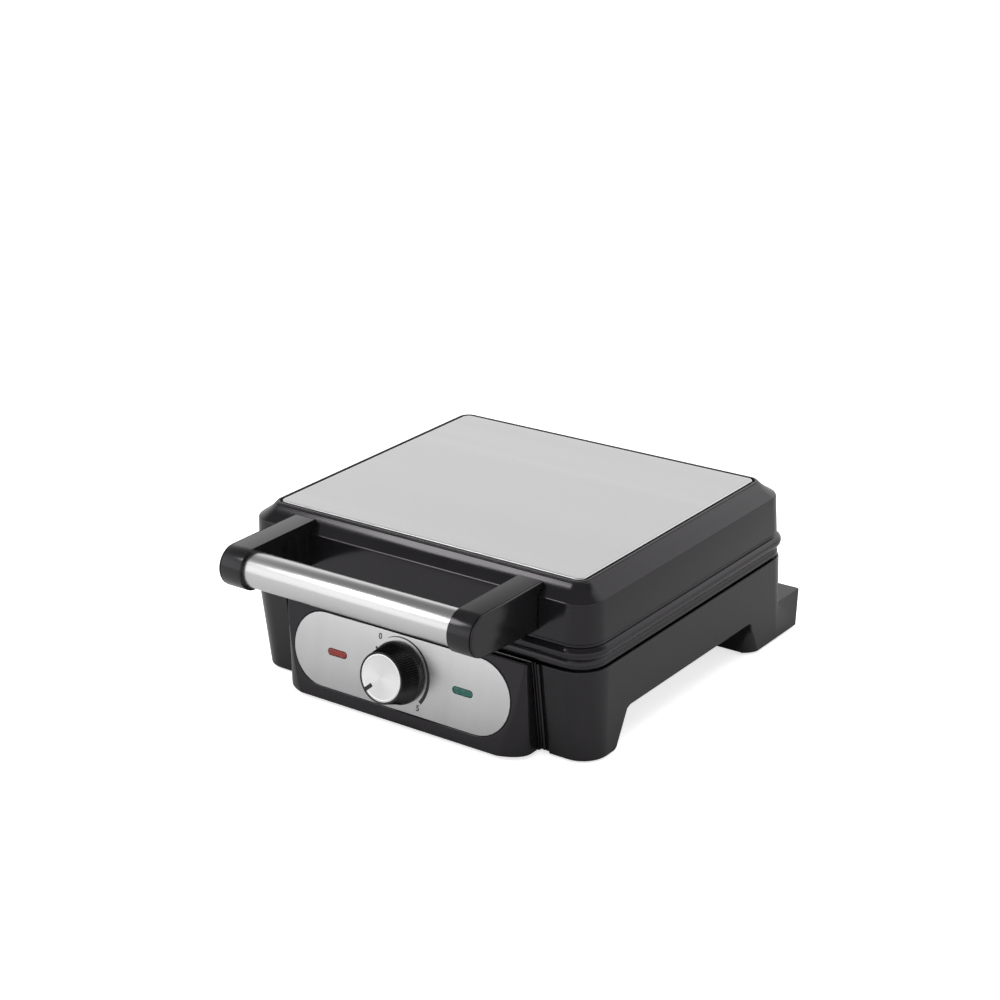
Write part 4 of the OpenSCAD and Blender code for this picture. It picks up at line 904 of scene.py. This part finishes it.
def sweep_mark(r, start, end, low, high, steps=40):
    """Curved wedge round the knob, low wide at start and high at end."""
    outer = [(r + (low + (high - low) * k / steps), math.radians(start + (end - start) * k / steps))
             for k in range(steps + 1)]
    inner = [(r, a) for _, a in reversed(outer)]
    return [(q * math.cos(a), q * math.sin(a)) for q, a in reversed(outer + inner)]


DOT_AT, DOT_R = math.radians(148), 23.0
marks = [printed("wedge", sweep_mark(23.4, 116, -41, 0.45, 2.6)),
         printed("start_dot", circle(DOT_R * math.cos(DOT_AT), DOT_R * math.sin(DOT_AT), 0.9))]


def numeral(text, x, y, size):
    """A plain upright number at a place on the panel."""
    curve = bpy.data.curves.new("numeral", "FONT")
    curve.body, curve.size, curve.align_x, curve.align_y = text, size * MM, "CENTER", "CENTER"
    curve.extrude, curve.offset = 0.02 * MM, 0.13 * MM
    obj = placed("numeral", curve)
    mesh = bpy.data.meshes.new_from_object(obj.evaluated_get(bpy.context.evaluated_depsgraph_get()))
    bpy.data.objects.remove(obj)
    mesh.transform(Matrix.Translation((x * MM, (y + MID_Y) * MM, (PANEL_FACE + 0.04) * MM)))
    return placed("numeral_" + text, mesh)


marks += [numeral("0", -17.0, 20.4, 5.6), numeral("5", 17.4, -20.2, 5.6)]
dress(on_panel(join("dial_marks", marks)), "base", "knob_black", finish="dial_print")

# %% [markdown]
# Each indicator is a clear moulded window with a softly domed face. It stands a little proud of the panel, and a
# wider foot behind the steel keeps it from falling through. Both are one loft of stadiums.

# %% Lens windows
LENS_STEPS = ((-1.5, -4.0), (-1.5, -2.85), (0, -2.8), (0.15, 0.3), (0.3, 0.5), (0.6, 0.66), (1.1, 0.75), (1.8, 0.78))
for colour, node, side in (("red", "power_lens", -1), ("green", "ready_lens", 1)):
    rings = [pill(LENS_W - 2 * i, LENS_H - 2 * i, z) for i, z in LENS_STEPS]
    lens = on_panel(lofted(colour + "_window", rings), side * LENS_X)
    dress(smooth(lens, 60), "base", colour + "_lens", node)

# %% [markdown]
# ## Knob
# The grip is a cone of fine ribs over a smooth skirt. The ribs are real teeth: each is a shallow wave six points
# wide, which fades out above the skirt and runs on to the rim, where it shows as a fine serration. A bump map would
# leave that rim a plain circle. A short pointer crosses the black rim onto the spun cap.

# %% Knob body
KNOB_R, KNOB_TIP, KNOB_LEN, CAP_R = 21.2, 17.4, 18.2, 16.1
RIBS, RIB_POINTS, RIB_DEPTH = 72, 6, 0.8
POINTER_ANGLE = math.radians(221)
FACE_Z = KNOB_LEN + 1.0


def rib(i, r, z):
    """Radius of a point: let in by the rib's wave on the grip, plain on the skirt and the front edge."""
    on = min(max((z - 4.0) / 0.8, 0), max((FACE_Z - 0.1 - z) / 0.6, 0), 1)
    return r - RIB_DEPTH * on * (0.5 - 0.5 * math.cos(2 * math.pi * i / RIB_POINTS))


def pointer_bar(name, length, past, grow, low, high):
    """Bar across the edge of the cap, a little wider outwards."""
    a, b = CAP_R - length, CAP_R + past
    return prism(name, [(a, -1.1 - grow), (b, -1.2 - grow), (b, 1.2 + grow), (a, 1.1 + grow)], low, high, "z")


knob_section = [(0.5, 1.0, 0), (KNOB_R, 1.0, 0.4), (KNOB_R, 3.2, 0.5), (KNOB_R - 0.7, 3.9, 0.2),
                (KNOB_R - 0.8, 4.9, 0.2), (KNOB_TIP + 0.35, FACE_Z - 2.4, 0.2), (KNOB_TIP + 0.3, FACE_Z - 1.4, 0.2),
                (KNOB_TIP, FACE_Z, 0.7), (CAP_R + 0.3, FACE_Z, 0.25), (CAP_R + 0.25, FACE_Z - 0.8, 0.2),
                (0.5, FACE_Z - 0.8, 0)]
grip = on_panel(lofted("knob_grip", turned(knob_section, RIBS * RIB_POINTS, rib)))
pointer = on_panel(pointer_bar("pointer", 6.6, 0.6, 0, FACE_Z - 0.9, FACE_Z + 0.12), turn=POINTER_ANGLE)
dress(smooth(join("knob_grip", [grip, pointer]), 35), "knob", "knob_black", "knob_body")

# %% Spun cap
cap_section = [(0.02, FACE_Z - 1.4, 0), (CAP_R, FACE_Z - 1.4, 0.1), (CAP_R, FACE_Z - 0.15, 0.35),
               (CAP_R - 1.3, FACE_Z - 0.05, 0.2), (CAP_R - 1.7, FACE_Z - 0.2, 0.15), (0.02, FACE_Z - 0.28, 0)]
cap = at_origin(lofted("knob_cap_disc", turned(cap_section, 96)))
slot_cut = at_origin(pointer_bar("slot_cut", 6.8, 2, 0.2, 0, 40))
slot_cut.data.transform(Matrix.Rotation(POINTER_ANGLE, 4, "Z"))
combine(cap, [slot_cut])
cap.matrix_world = PANEL_AXIS
dress(smooth(cap, 50), "knob", "spun_metal", "knob_cap")

# %% [markdown]
# ## Handle
# Two arms come forward from the lid and hold a steel tube. Each arm is an outline with a round nose about the tube, a
# flat top and a foot cut to the lid's bevel and wall. It is lofted sideways, so that the insets of the same outline
# give the rounded outer edge and the fine groove where a flush side plate meets the arm. Its inner side is closed by
# a thin cover.

# %% Handle arms
ARM_FOOT = BEAD_Z + 6.7
CLEAR = 0.2


def wall_back(z):
    """Depth of the lid's front wall at a height below the shoulder."""
    return PLATE_HD + SHOULDER_U + 1.2 * (SHOULDER_Z - z) / (SHOULDER_Z - BEAD_Z)


def arm_outline(inset, steps=16):
    """Side view (y, z) of an arm, inset all round."""
    back, top, foot = CLEAR + inset, ARM_HIGH.z - inset, ARM_FOOT + inset
    cove = -PLATE_HD - COVE_U - back
    ease = min(2.6, top - COVE_Z - 0.3)
    return (arc(TUBE_Y, TUBE_Z, ARM_R - inset, 90, 262, steps * 2)
            + [(-wall_back(ARM_FOOT) - back, foot), (-PLATE_HD - SHOULDER_U - back, SHOULDER_Z),
               (cove, COVE_Z + CLEAR), (cove - 0.04 * ease, top - ease), (cove - 0.35 * ease, top - 0.4 * ease),
               (cove - ease, top)])


IN, OUT = ARM_LOW.x, ARM_HIGH.x
COVER_IN, COVER_OUT = (v.x for v in span("arm_cover_right"))
ARM_STEPS = ((IN, 0.0), (OUT - 2.2, 0.0), (OUT - 1.9, 0.08), (OUT - 1.7, 0.3), (OUT - 1.65, 1.2), (OUT - 0.95, 1.2),
             (OUT - 0.9, 0.35), (OUT - 0.65, 0.3), (OUT - 0.35, 0.5), (OUT - 0.1, 0.95), (OUT, 1.7))
COVER_STEPS = ((COVER_OUT, 0.8), (COVER_IN + 0.5, 0.8), (COVER_IN + 0.15, 0.9), (COVER_IN, 1.2), (COVER_IN, 3.0),
               (COVER_IN + 0.9, 3.3))
BAR_AT, BAR_LOW, BAR_HIGH, BAR_W = (-146, -137, -128), 95.5, 114, 1.2
tube_hole = circle(TUBE_Y, TUBE_Z, TUBE_R + CLEAR, 45)


def arm_piece(name, side, steps, hole):
    """Arm outline lofted sideways through (x, inset) steps, with the tube's hole cut over a span of x."""
    rings = [[(side * x, y, z) for y, z in arm_outline(inset)] for x, inset in steps]
    return combine(lofted(name, rings), [prism("tube_hole", tube_hole, *beside(side, *hole))])


for word, side in (("left", -1), ("right", 1)):
    arm = arm_piece("handle_arm_" + word, side, ARM_STEPS, (IN - 4, IN + 5))
    dress(smooth(arm, 28), "lid", "dark_plastic", "handle_arm_" + word)
    cover = arm_piece("cover", side, COVER_STEPS, (COVER_IN - 2, COVER_OUT + 2))
    bars = []
    for y in BAR_AT:
        outline = [(y, BAR_LOW), (y + BAR_W, BAR_LOW), (y + BAR_W, BAR_HIGH), (y, BAR_HIGH)]
        bars.append(prism("bar", outline, *beside(side, COVER_IN + 0.65, COVER_IN + 1.4)))
    cover = join("arm_inner_cover_" + word, [cover, *bars])
    dress(smooth(cover, 30), "lid", "dark_plastic", "arm_cover_" + word)

# %% [markdown]
# The tube is drawn steel with a satin finish that runs round it, so its highlights are long straight bands. It is a
# closed section turned about its axis, with a real wall and eased ends, rather than a cylinder primitive.

# %% Grip tube
tube_section = [(TUBE_R - 1.2, TUBE_LOW.x, 0.3), (TUBE_R, TUBE_LOW.x, 0.5), (TUBE_R, TUBE_HIGH.x, 0.5),
                (TUBE_R - 1.2, TUBE_HIGH.x, 0.3)]
tube_rings = [[(z, TUBE_Y - y, TUBE_Z + x) for x, y, z in r] for r in turned(tube_section, 96)]
tube = smooth(lofted("grip_tube", tube_rings, closed=True), 50)
dress(tube, "lid", "tube_steel", "handle_tube")

# %% [markdown]
# ## Hinge arms
# Each hinge arm is a strap that bears on the lid's rear wall, bends out over the bead and ends in a barrel between
# the base's knuckles. Strap and barrel are one moulding, so they are joined before their edges are eased.

# %% Hinge arms
strap_low, strap_high = span("hinge_arm_right")
STRAP_TOP = SHOULDER_Z - 9
STRAP_IN, STRAP_OUT = REAR + 1.3, REAR + 4.1
BARREL_R = HINGE_Z - strap_low.z
strap = [(HINGE_Y, HINGE_Z), (STRAP_IN, HINGE_Z), (STRAP_IN, BEAD_Z + 1), (wall_back(BEAD_Z) + CLEAR, BEAD_Z + 1.5),
         (wall_back(STRAP_TOP) + CLEAR, STRAP_TOP), (STRAP_OUT, STRAP_TOP), (STRAP_OUT, BEAD_Z + 4),
         (HINGE_Y + BARREL_R * 0.866, HINGE_Z + BARREL_R * 0.5)]
for word, side in (("left", -1), ("right", 1)):
    x0, x1 = beside(side, strap_low.x, strap_high.x)
    barrel = prism("barrel", about_hinge(BARREL_R, 45), x0, x1)
    arm = combine(prism("hinge_strap_" + word, strap, x0, x1), [barrel], "UNION")
    combine(arm, [prism("bore", about_hinge(PIN_BORE), x0 - 2, x1 + 2)])
    dress(soften(arm, 0.7, 3, 34), "lid", "dark_plastic", "hinge_arm_" + word)

# %% [markdown]
# ## Screws
# Every screw is a pan head with a cross recess on a plain shank. The places come from the frame: each loose part of
# a screw node is one screw, and its box gives the middle, the length and the head's side.

# %% Pan-head screws
def islands(node):
    """Boxes of a node's separate parts, in millimetres, from left to right."""
    build = bmesh.new()
    build.from_mesh(frame["nodes"][node].data)
    bmesh.ops.remove_doubles(build, verts=build.verts, dist=WELD)
    left, boxes = set(build.verts), []
    while left:
        stack, part = [left.pop()], []
        while stack:
            vert = stack.pop()
            part.append(vert.co.copy())
            near = {edge.other_vert(vert) for edge in vert.link_edges} & left
            left -= near
            stack += near
        pts = np.array(part) / MM
        boxes.append((pts.min(0), pts.max(0)))
    build.free()
    return sorted(boxes, key=lambda box: tuple(box[0]))


HEAD_R, HEAD_H, SHANK_R = 2.9, 1.6, 1.5


def pan_screw(length):
    """Screw along +z with its head at z = 0 and below."""
    section = [(0.02, length, 0), (SHANK_R * 0.7, length, 0.2), (SHANK_R, length - 1, 0.2), (SHANK_R, 0, 0.1),
               (HEAD_R, 0, 0.15), (HEAD_R, -HEAD_H * 0.45, 0.5), (HEAD_R * 0.62, -HEAD_H, 0.5), (0.02, -HEAD_H, 0)]
    screw = lofted("screw", turned(section, 32))
    cross = [block("cross", (-w, -d, -HEAD_H - 1), (w, d, 0.9 - HEAD_H)) for w, d in ((1.6, 0.32), (0.32, 1.6))]
    return at_origin(combine(screw, cross))


def screws(name, node, axis, body):
    """All screws of a node; axis is the way a screw points, away from its head."""
    made = []
    turn = Vector((0, 0, 1)).rotation_difference(Vector(axis)).to_matrix().to_4x4()
    along = max(range(3), key=lambda k: abs(axis[k]))
    for low, high in islands(node):
        if max((high - low)[k] for k in range(3) if k != along) < 4:
            continue
        spot = Vector((low + high) / 2)
        spot[along] = (low[along] if axis[along] > 0 else high[along]) + axis[along] * HEAD_H
        screw = pan_screw((high - low)[along] - HEAD_H)
        screw.data.transform(Matrix.Translation(spot * MM) @ turn)
        made.append(screw)
    return dress(smooth(join(name, made), 35), body, "zinc", node)


screws("bottom_pan_screws", "bottom_screws", (0, 0, 1), "base")
screws("hinge_pan_screws", "hinge_screws", (0, -1, 0), "lid")
screws("arm_pan_screws", "arm_screws", (0, -1, 0), "lid")

# %% [markdown]
# ## Feet and gland
# The rubber pads are short plugs with a rounded sole. The cord gland is a grommet with a flange behind the wall and
# a tapering sleeve, on the same bore as its solid. Both are turned sections, the simplest way to a round piece whose
# edges are eased.

# %% Rubber pads
PAD_R = 6
pads = []
for low, high in islands("rubber_feet"):
    cx, cy = (low[0] + high[0]) / 2, (low[1] + high[1]) / 2 - MID_Y
    section = [(0.02, 0, 0), (PAD_R, 0, 0.8), (PAD_R, high[2], 0.2), (0.02, high[2], 0)]
    rings = [[(cx + x, cy + y, z) for x, y, z in r] for r in turned(section, 40)]
    pads.append(lofted("pad", rings))
dress(smooth(join("rubber_pads", pads), 45), "base", "soft_rubber", "rubber_feet")

# %% Cord gland
gland_low, gland_high = span("cord_gland")
GLAND_X, GLAND_Z = (gland_low.x + gland_high.x) / 2, (gland_low.z + gland_high.z) / 2
INNER, OUTER = gland_low.y - MID_Y, gland_high.y - MID_Y
FLANGE_R, FLANGE_Y = (gland_high.x - gland_low.x) / 2, REAR + CLEAR
CORD_R = 3.6
gland_section = [(CORD_R, INNER, 0.3), (6.5, INNER, 0.4), (6.5, FLANGE_Y, 0.1), (FLANGE_R, FLANGE_Y, 0.3),
                 (FLANGE_R, FLANGE_Y + 2.6, 1.0), (6.3, FLANGE_Y + 2.8, 0.4), (6.0, OUTER - 1.6, 0.3),
                 (5.2, OUTER, 0.6), (CORD_R, OUTER, 0.3)]
gland_rings = [[(GLAND_X + x, z, GLAND_Z + y) for x, y, z in r] for r in turned(gland_section, 48)]
gland = smooth(lofted("gland_grommet", gland_rings, closed=True), 45)
dress(gland, "base", "soft_rubber", "cord_gland")

# %% [markdown]
# ## Pieces inside
# The heaters, reflectors, thermostat, lamps and wiring keep the solids of the frame. Facets of the wires are
# rounded by one level of subdivision, sheets and blocks get a small bevel, and each wears its own finish.

# %% Inner pieces
ROUND = ["sensor_capillary", "base_leads", "lid_leads", "lower_heater", "upper_heater"]
CRISP = {"bottom_cover": 0.4, "lower_reflector": 0.2, "upper_reflector": 0.2, "thermostat": 0.5,
         "thermostat_bracket": 0.3, "thermostat_nut": 0.4, "thermal_fuse": 0.5, "terminal_block": 0.6,
         "lamp_holders": 0.4, "indicator_lamps": 0.5, "hinge_pins": 0.3, "handle_rod": 0.3, "thermostat_shaft": 0.4,
         "lower_plate_screws": 0.3, "upper_plate_screws": 0.3}
SLOTS = {p["node"]: p["material_slot"] for p in frame["record"]["subparts"]}
for node in [*ROUND, *CRISP]:
    obj = frame["nodes"][node]
    obj.modifiers.new("weld", "WELD").merge_threshold = 1e-5
    if node in ROUND:
        rounder = obj.modifiers.new("rounder", "SUBSURF")
        rounder.levels = rounder.render_levels = 1
        obj.modifiers.new("normals", "WEIGHTED_NORMAL").keep_sharp = True
        smooth(obj)
    else:
        flat = obj.modifiers.new("flat", "DECIMATE")
        flat.decimate_type, flat.angle_limit = "DISSOLVE", math.radians(1)
        soften(obj, CRISP[node], clamp=True)
    obj.data.materials.clear()
    obj.data.materials.append(FINISHES[SLOTS[node]])
print("inner pieces:", len(ROUND) + len(CRISP))

# %% [markdown]
# ## Studio
# The machine stands on a plain pale floor, which seen by the camera is lifted to white. Seen in the gloss of the
# front
# panel and every other glossy face, its colour is darkened by about two fifths, a little more on the camera's side:
# a painted shade in the reflections. A wide soft light overhead gives the top its even tone, and a window light from
# the left front draws the highlights on the tube's end and the lid's edge. The world is a bright wall all round with
# a darker ceiling, and two soft patches in it, left front and high behind, brighten what the tube and the bevel
# mirror.

# %% Floor
BLACK, WHITE = (0.0, 0.0, 0.0), (1.0, 1.0, 1.0)
FLOOR_HALF, FLOOR_LIFT = 9000, 0.7
floor = block("floor", (-FLOOR_HALF, -FLOOR_HALF, -20), (FLOOR_HALF, FLOOR_HALF, 0))
floor_material = finish("floor", (0.90,) * 3, (0.92,) * 3, (0.75, 0.85), (0.02, 0.2), grained(1.5, 400))
tree = floor_material.node_tree
shader = tree.nodes["Principled BSDF"]
colour = shader.inputs["Base Color"].links[0].from_socket
# For glossy rays only, the floor's colour is darkened by 35 to 42 percent, most towards the camera's side: painted
# shade in the machine's reflections.
bearing = put(tree, "VectorMath", {0: object_place(tree)}, operation="NORMALIZE").outputs[0]
toward = reckon(tree, "DOT_PRODUCT", bearing, (0.6, -0.8, 0.0), "VectorMath")
front = spread(tree, toward, 0.80, 0.97, 0.35, 0.42, interpolation_type="SMOOTHSTEP")
ray = put(tree, "LightPath").outputs
seen = reckon(tree, "MULTIPLY", front, ray["Is Glossy Ray"])
tree.links.new(blend(tree, seen, colour, BLACK), shader.inputs["Base Color"])
tree.links.new(blend(tree, ray["Is Camera Ray"], BLACK, WHITE), shader.inputs["Emission Color"])
shader.inputs["Emission Strength"].default_value = FLOOR_LIFT
floor.data.materials.append(floor_material)
print("floor:", round(FLOOR_HALF * MM * 2), "m wide")

# %% World
world = bpy.data.worlds.new("studio")
bpy.context.scene.world = world
world.use_nodes = True
tree = world.node_tree
background = tree.nodes["Background"]
direction = put(tree, "TexCoord").outputs["Generated"]
wall = put(tree, "ValToRGB", {0: put(tree, "SeparateXYZ", {0: direction}).outputs["Z"]})
stops = wall.color_ramp.elements
stops[0].position, stops[0].color = 0.0, (*WHITE, 1)
stops[1].position, stops[1].color = 0.95, (0.30, 0.30, 0.30, 1)
for position, level in ((0.40, 1.0), (0.52, 0.6), (0.66, 0.26), (0.84, 0.22)):
    stops.new(position).color = (level, level, level, 1)


def patch(toward, edge, core, level):
    """Brighter patch of the wall about a direction."""
    near = reckon(tree, "DOT_PRODUCT", direction, toward, "VectorMath")
    return spread(tree, near, edge, core, 0.0, level, interpolation_type="SMOOTHSTEP")


glow, haze = patch((-0.62, -0.68, 0.39), 0.78, 0.97, 0.35), patch((0.15, 0.75, 0.645), 0.86, 0.99, 0.8)
lit = blend(tree, 1.0, wall.outputs[0], reckon(tree, "ADD", glow, haze), blend_type="ADD")
tree.links.new(lit, background.inputs["Color"])
background.inputs["Strength"].default_value = 1.0
print("world:", len(stops), "levels from floor to ceiling and two patches")


# %% Lights
def soft_light(name, kind, at, toward, energy, size):
    """Sun with an angle, or a rectangle with two sides, aimed at a point."""
    data = bpy.data.lights.new(name, kind)
    data.energy = energy
    if kind == "AREA":
        data.shape, data.size, data.size_y = "RECTANGLE", size[0], size[1]
    else:
        data.angle = math.radians(size)
    light = placed(name, data)
    light.location = at
    light.rotation_euler = (Vector(toward) - Vector(at)).to_track_quat("-Z", "Y").to_euler()
    return light


overhead = soft_light("overhead", "SUN", (0.2, -0.2, 3), (0, 0, 0), 1.7, 60)
overhead.visible_glossy = False
soft_light("window_light", "AREA", (-0.80, -0.86, 1.21), (0.1, -0.12, 0.08), 5.6, (0.62, 0.42))
bpy.context.scene.view_settings.view_transform = "Standard"
print("lights: overhead and window")
